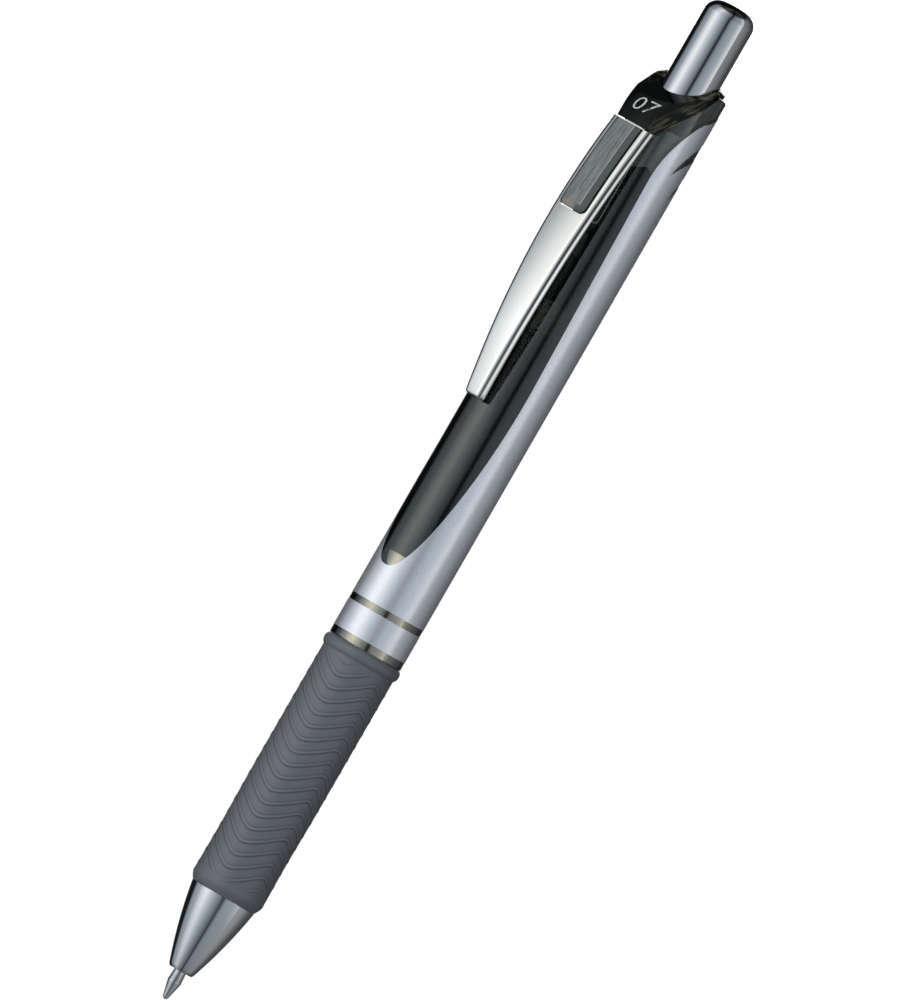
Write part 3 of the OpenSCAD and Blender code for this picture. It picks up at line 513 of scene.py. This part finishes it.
def stripeEdge(radius, leanBy):
    middle = (radius * math.cos(math.radians(leanBy)), -radius * math.sin(math.radians(leanBy)))
    last = math.degrees(math.acos((stripe["reach"] - middle[0]) / radius))
    return arc(middle, radius, 180 - leanBy, last, 24)


side = []
for i in range(window["steps"] + 1):
    u = (i / window["steps"]) ** 2
    wide = window["half"] * (1 - (1 - u) ** window["full"]) ** window["sharp"]
    side.append((wide, window["point"] + u * window["rise"]))
for i in range(window["steps"] // 2 + 1):
    h = i / (window["steps"] // 2) * window["flare"]
    u = (1 - math.cos(math.pi * h / window["flareRise"])) / 2
    side.append((window["waist"] + window["flareOut"] * u ** window["flareSharp"], window["waistZ"] + h))
side.append((coat["outer"] + window["past"], window["waistZ"] + window["flare"] + window["past"]))
windowLine = side + [(-x, z) for x, z in reversed(side[1:])]
bm = lathe(ringSkin(coat["low"], coat["blankTop"]), coat["facets"])
lean = math.radians(coat["slope"])
bm = cutFlat(bm, (0, 0, coat["sideTop"]), (0, -math.sin(lean), math.cos(lean)), hollow=True)
bm = carve(bm, prism(windowLine, -coat["clear"], 0, lambda u, v, d: (u, d, v)))
stripeLine = stripeEdge(stripe["lowR"], stripe["lowLean"]) + stripeEdge(stripe["highR"], stripe["highLean"])[:0:-1]
for hand in (1, -1):
    for i in range(2):
        y0, z0 = stripe["fore"] + i * stripe["stepBack"], stripe["pointZ"] - i * stripe["stepDown"]
        cutter = prism(stripeLine, hand * stripe["spine"], hand * coat["clear"],
                       lambda u, v, d: (d, y0 + u, z0 + v))
        bm = carve(bm, cutter)
for face in bm.faces:
    middle = face.calc_center_median()
    outward = face.normal.x * middle.x + face.normal.y * middle.y
    # the lacquer's inside faces take the painted shade
    face.material_index = 1 if outward < -0.5 * math.hypot(middle.x, middle.y) else 0   # dark inside
finishPiece("silver_skin", bm, [pearlSilver, insideShade], "barrel", ["silver_coat"], sharp=40)
bm = lathe(ringSkin(coat["bandLow"], coat["bandHigh"]), coat["facets"])
finishPiece("silver_band", bm, [pearlSilver], "barrel", ["silver_coat"], sharp=30)

# front section: the tan inner tube under the grip and behind the bare rings
front = {"low": 15.0, "step": 50.86, "high": 63.8, "gripR": 4.24, "bodyR": 4.2, "bore": 3.66, "edge": 0.15}
outline = [(front["bore"], front["low"]), (front["gripR"] - front["edge"], front["low"]),
           (front["gripR"], front["low"] + front["edge"]), (front["gripR"], front["step"]),
           (front["bodyR"], front["step"]), (front["bodyR"], front["high"] - front["edge"]),
           (front["bodyR"] - front["edge"], front["high"]), (front["bore"], front["high"])]
finishPiece("front_tube", lathe(outline, 160), [tanPearl], "barrel", ["front_section"])

# grip: rubber with fine arched ribs in three columns, and a bead at its top
grip = {"low": 15.0, "high": 50.85, "frontR": 4.49, "r": 5.05, "shoulder": 1.3, "shoulderCurve": 1.6, "bore": 4.26,
        "beadLow": 49.15, "beadR": 5.42, "beadCurve": 2.4, "waist": 0.1, "waistZ": 22.0, "waistLen": 5.5,
        "pitch": 1.862, "first": 0.08, "climb": 0.0633, "bottom": 10.7, "crest": 6, "turned": 23, "column": 120,
        "rib": 0.05, "groove": 0.035, "apart": 0.24, "thin": 0.13, "upper": 0.6, "lip": 0.6,
        "ribFrom": 4.6, "ribLow": 16.6, "ribHigh": 48.9, "fadeLen": 1.2, "rows": 318, "facets": 264}


def gripRadius(z):
    if z < grip["low"] + grip["shoulder"]:
        u = (z - grip["low"]) / grip["shoulder"]
        return grip["frontR"] + (grip["r"] - grip["frontR"]) * (1 - (1 - u) ** grip["shoulderCurve"])
    if z > grip["beadLow"]:
        u = abs(2 * (z - grip["beadLow"]) / (grip["high"] - grip["beadLow"]) - 1)
        return grip["r"] + (grip["beadR"] - grip["r"]) * (1 - u ** grip["beadCurve"])
    return grip["r"] - grip["waist"] * math.exp(-((z - grip["waistZ"]) / grip["waistLen"]) ** 2)


def swell(away):
    return math.exp(-(away / grip["thin"]) ** 2)


levels = [grip["low"] + (grip["high"] - grip["low"]) * i / grip["rows"] for i in range(grip["rows"] + 1)]
outline = [(gripRadius(z), z) for z in levels] + [(grip["bore"], grip["high"]), (grip["bore"], grip["low"])]
bm = lathe(outline, grip["facets"])
crease, lip = (bm.verts.layers.float.new(name) for name in ("crease", "lip"))
half = grip["column"] / 2
for v in bm.verts:
    r, z = math.hypot(v.co.x, v.co.y) / mm, v.co.z / mm
    if r < grip["ribFrom"] or not grip["ribLow"] < z < grip["ribHigh"]:
        continue
    off = abs((math.degrees(math.atan2(v.co.x, -v.co.y)) - grip["turned"] + half) % grip["column"] - half)
    off = half - math.hypot(half - off, grip["crest"])   # the arches meet in a rounded crest
    arch = grip["first"] + grip["climb"] * (math.hypot(off, grip["bottom"]) - grip["bottom"])
    away = (((z - arch) / grip["pitch"] + 0.5) % 1 - 0.5) * grip["pitch"]
    kept = min(1.0, (z - grip["ribLow"]) / grip["fadeLen"], (grip["ribHigh"] - z) / grip["fadeLen"])
    sunk = swell(away + grip["apart"]) + grip["upper"] * swell(away - grip["apart"])
    scale = (r + kept * (grip["rib"] * swell(away) - grip["groove"] * sunk)) / r
    v.co.x *= scale
    v.co.y *= scale
    # the crease and lip attributes carry painted shade along the grooves and a painted highlight on each rib
    v[crease], v[lip] = kept * min(1, sunk), kept * grip["lip"] * swell(away)
finishPiece("grip_rubber", bm, [gripRubber], "barrel", ["grip_sleeve"], sharp=60)

# nose cone: plated, with a threaded spigot behind it
nose = {"low": 4.05, "high": 14.95, "mouthR": 1.68, "rootR": 4.49, "swell": 0.25, "mouthBore": 1.08, "edge": 0.1,
        "mouthEnd": 5.65, "frontBore": 1.97, "seat": 9.6, "seatBore": 2.75, "spigotR": 3.6, "spigotBore": 3.1,
        "spigotTop": 21.95, "leadIn": 0.4, "leadDeep": 0.3, "threadLow": 15.9, "threadPitch": 0.8,
        "threadDeep": 0.22, "threadRows": 72, "facets": 160}
mouth, root = Vector((nose["mouthR"], nose["low"])), Vector((nose["rootR"], nose["high"]))
chord = root - mouth
swellR = chord.length ** 2 / (8 * nose["swell"]) + nose["swell"] / 2
centre = (mouth + root) / 2 - (swellR - nose["swell"]) * Vector((chord.y, -chord.x)) / chord.length
first = math.degrees(math.atan2(mouth.y - centre.y, mouth.x - centre.x))
last = math.degrees(math.atan2(root.y - centre.y, root.x - centre.x))
shell = arc(centre, swellR, first, last, 40)
outline = [(nose["mouthBore"], nose["mouthEnd"]), (nose["mouthBore"], nose["low"] + nose["edge"]),
           (nose["mouthBore"] + nose["edge"], nose["low"]), (nose["mouthR"] - nose["edge"], nose["low"])] + shell[1:]
outline += [(nose["spigotR"], nose["high"])]
threadLen = nose["spigotTop"] - nose["leadIn"] - nose["threadLow"]
outline += [(nose["spigotR"], nose["threadLow"] + threadLen * i / nose["threadRows"])
            for i in range(nose["threadRows"] + 1)]
outline += [(nose["spigotR"] - nose["leadDeep"], nose["spigotTop"]), (nose["spigotBore"], nose["spigotTop"]),
            (nose["spigotBore"], nose["high"]), (nose["seatBore"], nose["high"]), (nose["seatBore"], nose["seat"]),
            (nose["frontBore"], nose["seat"]), (nose["frontBore"], nose["mouthEnd"])]
bm = lathe(outline, nose["facets"])
for v in bm.verts:
    r, z = math.hypot(v.co.x, v.co.y) / mm, v.co.z / mm
    if abs(r - nose["spigotR"]) < 0.02 and z > nose["threadLow"] + 0.05:   # what lies on the spigot's outside
        step = (z / nose["threadPitch"] - math.atan2(v.co.y, v.co.x) / (2 * math.pi)) % 1
        scale = 1 - nose["threadDeep"] * abs(2 * step - 1) / r
        v.co.x *= scale
        v.co.y *= scale
finishPiece("nose_shell", bm, [chromePlate], "nose", ["nose_cone"], sharp=25)

# knob: a plated cap with a rounded top
knob = {"low": 125.79, "top": 145.0, "r": 3.45, "round": 2.0, "edge": 0.15, "bore": 2.7, "roof": 143.0, "facets": 160}
outline = [(0, knob["top"])]
outline += arc((knob["r"] - knob["round"], knob["top"] - knob["round"]), knob["round"], 90, 0, 24)
outline += [(knob["r"], knob["low"] + knob["edge"]), (knob["r"] - knob["edge"], knob["low"]),
            (knob["bore"], knob["low"]), (knob["bore"], knob["roof"]), (0, knob["roof"])]
bm = lathe(outline, knob["facets"], closed=False)
finishPiece("knob_cap", bm, [chromePlate], "knob", ["knob"])

# collar: the black end cap, with its hood over the clip's root and its slanted mouth round the knob
collar = {"r": 5.16, "plugR": 4.49, "plugLow": 127.02, "plugTop": 139, "domeR": 8.57, "domeY": 1.88, "domeZ": 126.8,
          "mouthZ": 133.8, "mouthSlope": 34.2, "hoodHalf": 2.75, "hoodY": -6.75, "cheek": 67.1, "bore": 3.55,
          "boreLow": 120, "top": 140, "slotLow": (-1.9, -6.2, 124.0), "slotHigh": (1.9, -4.9, 128.1), "facets": 192}
seamPoint = Vector(seam["point"]) + seamUp * seam["room"]
fromAbove = arc((0, 0), collar["r"], collar["cheek"] - 90, 270 - collar["cheek"], 160)
fromAbove += [(-collar["hoodHalf"], collar["hoodY"]), (collar["hoodHalf"], collar["hoodY"])]
bm = prism(fromAbove, seam["point"][2] + seam["room"], collar["top"], lambda u, v, d: (u, v, d))
bm = cutFlat(bm, seamPoint, seamUp, keepAbove=True)
bm = carve(bm, rod(collar["plugR"], collar["plugLow"], collar["plugTop"], collar["facets"]), "UNION")
dome = bmesh.new()
bmesh.ops.create_uvsphere(dome, u_segments=160, v_segments=120, radius=collar["domeR"] * mm)
bmesh.ops.translate(dome, verts=dome.verts[:], vec=(0, collar["domeY"] * mm, collar["domeZ"] * mm))
bm = carve(bm, dome, "INTERSECT")
lean = math.radians(collar["mouthSlope"])
over = cutFlat(block((-20, -20, 110), (20, 20, 160)), (0, 0, collar["mouthZ"]),
               (0, -math.sin(lean), math.cos(lean)), keepAbove=True)   # all that lies above the mouth
bm = carve(bm, over)
bm = carve(bm, rod(collar["bore"], collar["boreLow"], collar["top"], collar["facets"]))
bm = carve(bm, block(collar["slotLow"], collar["slotHigh"]))
finishPiece("collar_cap", bm, [blackStyrene], "barrel", ["top_collar"], sharp=30)

# size mark on the hood: the ball size, wrapped on the dome
mark = {"words": "07", "tall": 1.85, "middle": (0.27, 128.15), "lean": 0.25, "tilt": 3,
        "stretch": 1.34, "thin": -0.008, "proud": 0.012}
letters = bpy.data.curves.new("mark", "FONT")
letters.body, letters.size, letters.shear = mark["words"], 1.0, mark["lean"]
letters.align_x, letters.align_y, letters.offset = "CENTER", "CENTER", mark["thin"]
lettering = bpy.data.objects.new("mark", letters)
scene.collection.objects.link(lettering)
bm = applied(lettering)
bmesh.ops.subdivide_edges(bm, edges=bm.edges[:], cuts=2)
tilt = math.radians(mark["tilt"])
drawnTall = max(v.co.y for v in bm.verts) - min(v.co.y for v in bm.verts)
for v in bm.verts:
    u, h = v.co.x / drawnTall * mark["tall"] * mark["stretch"], v.co.y / drawnTall * mark["tall"]
    x = mark["middle"][0] + u * math.cos(tilt) - h * math.sin(tilt)
    z = mark["middle"][1] + u * math.sin(tilt) + h * math.cos(tilt)
    out = math.sqrt(max(0.0, (collar["domeR"] + mark["proud"]) ** 2 - x ** 2 - (z - collar["domeZ"]) ** 2))
    v.co = Vector((x, collar["domeY"] - out, z)) * mm
bmesh.ops.recalc_face_normals(bm, faces=bm.faces[:])
finishPiece("size_mark", bm, [printInk], "barrel")

# clip: a bowed channel of steel sheet with a slight crown, narrow bevels, curved walls and a closed end
clip = {"top": 125.45, "end": 85.6, "crestZ": 104.9, "crest": 8.66, "root": 6.68, "endOut": 7.16, "half": 3.5,
        "endHalf": 1.53, "taperZ": 124.7, "sheet": 0.42, "depth": 0.97, "crown": 26, "roll": 0.85, "bevel": 0.22,
        "bevelLean": 42, "bend": 0.2, "wallLean": 62, "rimLean": 84, "corner": 0.45, "endRound": 0.4,
        "endSteps": 8, "rows": 64, "tongueLow": (-1.6, -5.9, 124.95), "tongueHigh": (1.6, -5.4, 127.8),
        "seatLow": (-2.6, -6.14, 124.95), "seatHigh": (2.6, -5.4, 125.45), "softEdge": 0.04, "softAngle": 50}


def sagR(length, sag):
    return (length ** 2 + sag ** 2) / (2 * sag)


rootR = sagR(clip["top"] - clip["crestZ"], clip["crest"] - clip["root"])
endR = sagR(clip["crestZ"] - clip["end"], clip["crest"] - clip["endOut"])
taperR = sagR(clip["taperZ"] - clip["end"], clip["half"] - clip["endHalf"])


def clipOut(z):
    bow = rootR if z > clip["crestZ"] else endR
    return clip["crest"] - bow + math.sqrt(bow ** 2 - (z - clip["crestZ"]) ** 2)


def clipHalf(z):
    half, corner = clip["half"], clip["corner"]
    if z <= clip["taperZ"]:
        half = half - taperR + math.sqrt(taperR ** 2 - (clip["taperZ"] - z) ** 2)
    near = corner - (z - clip["end"])
    return half if near < 0 else half - corner + math.sqrt(max(0.0, corner ** 2 - near ** 2))


def bendOn(row, radius, first, last, steps):
    # goes on from the row's end along an arc that leans from first to last
    x, y = row[-1]
    turns = [first + (last - first) * i / steps for i in range(1, steps + 1)]
    return row + [(x + radius * (math.sin(a) - math.sin(first)), y + radius * (math.cos(first) - math.cos(a)))
                  for a in turns]


def clipSection(half):
    # from the crown out to the rim of one side: distance across, and how far it lies below the crown
    small = min(1.0, half / 2)
    steep, wall, rim = (math.radians(clip[name]) for name in ("bevelLean", "wallLean", "rimLean"))
    crown, bevel = clip["crown"], clip["bevel"]
    crownHalf = half * 0.7   # a first guess, put right in a few rounds
    for i in range(5):
        lean = math.asin(crownHalf / crown)
        row = [(crown * math.sin(lean * j / 8), crown * (1 - math.cos(lean * j / 8))) for j in range(9)]
        row = bendOn(row, clip["roll"] * small, lean, steep, 7)
        row.append((row[-1][0] + bevel * small * math.cos(steep), row[-1][1] + bevel * small * math.sin(steep)))
        row = bendOn(row, clip["bend"] * small, steep, wall, 4)
        row = bendOn(row, (clip["depth"] - row[-1][1]) / (math.cos(wall) - math.cos(rim)), wall, rim, 6)
        crownHalf += half - row[-1][0]
    return row


def clipSag(x):
    # how far the clip's surface lies below its crown, by the distance across
    row = clipSection(clip["half"])
    for (x0, y0), (x1, y1) in zip(row, row[1:]):
        if x0 <= abs(x) < x1:
            return y0 + (y1 - y0) * (abs(x) - x0) / (x1 - x0)
    return clip["depth"]


straight = clip["top"] - clip["end"] - clip["endRound"]
stations = [(clip["top"] - straight * i / clip["rows"], 0) for i in range(clip["rows"] + 1)]
for i in range(1, clip["endSteps"] + 1):
    a = math.pi / 2 * i / clip["endSteps"]
    stations.append((clip["end"] + clip["endRound"] * (1 - math.sin(a)), clip["endRound"] * (1 - math.cos(a))))
stations.append((clip["end"], clip["depth"]))
columns = len(clipSection(clip["half"])) - 1   # on each side of the middle
bm = bmesh.new()
bmesh.ops.create_grid(bm, x_segments=2 * columns, y_segments=len(stations) - 1, size=0.5)
for v in bm.verts:
    i = round((v.co.x + 0.5) * 2 * columns) - columns
    z, drop = stations[round((0.5 - v.co.y) * (len(stations) - 1))]
    x, y = clipSection(clipHalf(z))[abs(i)]
    v.co = Vector((math.copysign(x, i), min(y + drop, clip["depth"]) - clipOut(z), z)) * mm
bmesh.ops.remove_doubles(bm, verts=bm.verts[:], dist=1e-7)
bmesh.ops.recalc_face_normals(bm, faces=bm.faces[:])
lead = max(bm.faces, key=lambda face: face.calc_area())
if lead.normal.y > 0:
    bmesh.ops.reverse_faces(bm, faces=bm.faces[:])
blank = bake(bm)
sheet = blank.modifiers.new("wall", "SOLIDIFY")
sheet.thickness, sheet.offset, sheet.use_even_offset = clip["sheet"] * mm, -1, True
bm = applied(blank)

# the insert: its place is cut from the clip, open at the top, and its panel lies in it with a gap all round
insert = {"low": 112.2, "top": 125.6, "half": 2.42, "corner": 0.9, "topCorner": 0.4, "room": 0.27, "endRoom": 0.12,
          "cut": (-10, -6.2), "panelTop": 125.42, "shift": -0.09, "thick": 0.36, "border": 0.16, "recess": 0.05,
          "recessEdge": 0.06, "rows": 30, "columns": 18}
ridge = {"low": 114.9, "len": 9.4, "half": 0.72, "high": 0.2, "x": -0.1, "crowd": 1.4, "taper": 0.6, "least": 0.02,
         "lift": 0.01, "flatFrom": 0.3, "skirt": 0.2}


def insertLine(half, low, high):
    r, k = insert["corner"], insert["topCorner"]
    return (arc((-half + k, high - k), k, 90, 180, 6) + arc((-half + r, low + r), r, 180, 270, 8)
            + arc((half - r, low + r), r, 270, 360, 8) + arc((half - k, high - k), k, 0, 90, 6))


pocket = prism(insertLine(insert["half"], insert["low"], insert["top"]), *insert["cut"], lambda u, v, d: (u, d, v))
bm = carve(bm, pocket)
for name in ("tongue", "seat"):
    addForm(bm, block(clip[name + "Low"], clip[name + "High"]))
for face in bm.faces:
    # the faces towards the barrel take the dull steel with its painted shade
    face.material_index = 1 if face.normal.y > 0.05 else 0   # what faces the barrel
channel = finishPiece("clip_channel", bm, [satinSteel, dullSteelAndShade], "clip", ["clip"], sharp=40)
edges = channel.modifiers.new("edges", "BEVEL")
edges.width, edges.segments, edges.profile = clip["softEdge"] * mm, 2, 0.5
edges.limit_method, edges.angle_limit = "ANGLE", math.radians(clip["softAngle"])
edges.harden_normals = True

# the panel: a fine border round a recess, and a raised drop-shaped ridge
bm = bmesh.new()
panelLine = insertLine(insert["half"] - insert["room"], insert["low"] + insert["endRoom"], insert["panelTop"])
panel = bm.faces.new([bm.verts.new(((u + insert["shift"]) * mm, 0, v * mm)) for u, v in panelLine])
body = bmesh.ops.extrude_face_region(bm, geom=[panel])["geom"]
bmesh.ops.translate(bm, verts=onlyVerts(body), vec=(0, insert["thick"] * mm, 0))
bmesh.ops.recalc_face_normals(bm, faces=bm.faces[:])
for face in bm.faces:
    face.material_index = 1 if abs(face.normal.y) < 0.5 else 0   # the sides are drawn black as painted shade in the gap
face = min(bm.faces, key=lambda face: face.calc_center_median().y)
bmesh.ops.inset_region(bm, faces=[face], thickness=insert["border"] * mm, depth=0)
bmesh.ops.inset_region(bm, faces=[face], thickness=insert["recessEdge"] * mm, depth=-insert["recess"] * mm)
for count, start, end, axis in ((insert["rows"], insert["low"], insert["top"], 2),
                                (insert["columns"], -insert["half"], insert["half"], 0)):
    for i in range(1, count):
        spot, way = Vector(), Vector()
        spot[axis], way[axis] = (start + (end - start) * i / count) * mm, 1
        bmesh.ops.bisect_plane(bm, geom=bm.verts[:] + bm.edges[:] + bm.faces[:], dist=1e-8,
                               plane_co=spot, plane_no=way)
drop = bmesh.new()
bmesh.ops.create_grid(drop, x_segments=16, y_segments=40, size=0.5)
for v in drop.verts:
    u, along = 2 * v.co.x, (v.co.y + 0.5) ** ridge["crowd"]
    z = ridge["low"] + ridge["len"] * along
    near = max(0.0, 1 - (z - ridge["low"]) / ridge["half"])
    wide = ridge["half"] * math.sqrt(1 - near ** 2) * (1 - along) ** ridge["taper"] + ridge["least"]
    raised = ridge["high"] * (1 - u * u) * min(1, wide / ridge["flatFrom"])
    v.co = Vector((ridge["x"] + u * wide, insert["recess"] + ridge["lift"] - raised, z)) * mm
rim = [edge for edge in drop.edges if edge.is_boundary]
skirt = bmesh.ops.extrude_edge_only(drop, edges=rim)["geom"]
bmesh.ops.translate(drop, verts=onlyVerts(skirt), vec=(0, ridge["skirt"] * mm, 0))
bmesh.ops.edgeloop_fill(drop, edges=[edge for edge in drop.edges if edge.is_boundary])
bmesh.ops.recalc_face_normals(drop, faces=drop.faces[:])
addForm(bm, drop)
for v in bm.verts:
    v.co.y += (clipSag(v.co.x / mm) - clipOut(v.co.z / mm)) * mm
bmesh.ops.recalc_face_normals(bm, faces=bm.faces[:])
finishPiece("clip_panel", bm, [greyStyrene, blackAcetal], "clip", ["clip_insert"], sharp=40)

# writing tip and ball
tip = {"lipR": 0.366, "lip": 0.2, "lipEdge": (0.02, 0.06), "wideR": 0.93, "wide": 2.55, "wideLow": (0.04, 0.14),
       "wideHigh": (0.03, 0.12), "shankR": 0.82, "shank": 3.85, "end": 9.6, "channel": 0.25, "channelLow": 0.609,
       "ballR": 0.35, "socketR": 0.36}
outline = [(tip["channel"], tip["end"]), (tip["channel"], tip["channelLow"])]
outline += arc((0, tip["ballR"]), tip["socketR"], 40, -24, 8)
outline += [(tip["lipR"], tip["lip"]), (tip["lipR"] + tip["lipEdge"][0], tip["lip"] + tip["lipEdge"][1]),
            (tip["wideR"] - tip["wideLow"][0], tip["wide"] - tip["wideLow"][1]), (tip["wideR"], tip["wide"]),
            (tip["wideR"] - tip["wideHigh"][0], tip["wide"] + tip["wideHigh"][1]), (tip["shankR"], tip["shank"]),
            (tip["shankR"], tip["end"])]
finishPiece("tip_cone", lathe(outline, 96), [turnedSteel], "refill", ["writing_tip"], sharp=30)
bm = bmesh.new()
bmesh.ops.create_uvsphere(bm, u_segments=48, v_segments=32, radius=tip["ballR"] * mm)
bmesh.ops.translate(bm, verts=bm.verts[:], vec=(0, 0, tip["ballR"] * mm))
finishPiece("rolling_ball", bm, [turnedSteel], "ball", ["tip_ball"])

# refill: clear tube and its ink, with a hollow where the ink ends
refill = {"low": 26.0, "high": 110.5, "r": 3.0, "bore": 2.5, "inkLow": 30.0, "inkHigh": 97.0, "inkR": 2.47,
          "inkHollow": 0.5}
outline = [(refill["bore"], refill["low"]), (refill["r"], refill["low"]), (refill["r"], refill["high"]),
           (refill["bore"], refill["high"])]
finishPiece("ink_tube", lathe(outline, 128), [clearTube], "refill", ["refill_tube"])
outline = [(0, refill["inkLow"]), (refill["inkR"], refill["inkLow"]), (refill["inkR"], refill["inkHigh"])]
outline += [(refill["inkR"] * (1 - i / 8), refill["inkHigh"] - refill["inkHollow"] * math.sin(math.pi / 2 * i / 8))
            for i in range(1, 9)]
finishPiece("ink_column", lathe(outline, 96, closed=False), [blackGel], "refill", ["gel_ink"])

# spring: round wire with closed end coils, held between the nose cone's seat and the holder's flange
spring = {"low": 9.83, "high": 23.77, "coilR": 2.2, "wireR": 0.2, "turns": 10, "endTurns": 1.5, "endPitch": 0.43,
          "steps": 28, "sides": 12}
bm = bmesh.new()
start = Matrix.Translation((spring["coilR"] * mm, 0, spring["low"] * mm)) @ Matrix.Rotation(math.pi / 2, 4, "X")
bmesh.ops.create_circle(bm, cap_ends=True, segments=spring["sides"], radius=spring["wireR"] * mm, matrix=start)
openTurns = spring["turns"] - 2 * spring["endTurns"]
openPitch = (spring["high"] - spring["low"] - 2 * spring["endTurns"] * spring["endPitch"]) / openTurns
closedCoils = (spring["endTurns"], spring["endPitch"])
wireEnd = bm.faces[:]
for turns, pitch in (closedCoils, (openTurns, openPitch), closedCoils):
    grown = bmesh.ops.spin(bm, geom=wireEnd, cent=(0, 0, 0), axis=(0, 0, 1), angle=2 * math.pi * turns,
                           dvec=(0, 0, pitch * mm / spring["steps"]), steps=int(turns * spring["steps"]))
    wireEnd = [g for g in grown["geom_last"] if isinstance(g, bmesh.types.BMFace)]
bmesh.ops.remove_doubles(bm, verts=bm.verts[:], dist=1e-7)
bmesh.ops.recalc_face_normals(bm, faces=bm.faces[:])
coil = finishPiece("spring_coil", bm, [springWire], None, ["return_spring"], sharp=50)
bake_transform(coil)
print("pieces built")

# the CAD nodes that stay: each gets its finish
dressed = {"clip_foot": blackAcetal, "thrust_cam": camAcetal, "rotor": blackAcetal, "cam_sleeve": camAcetal,
           "tip_holder": blackAcetal, "ink_follower": clearGrease, "tail_plug": blackAcetal}
for name, material in dressed.items():
    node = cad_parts[name]
    node.data.materials.clear()
    node.data.materials.append(material)
print("nodes dressed")
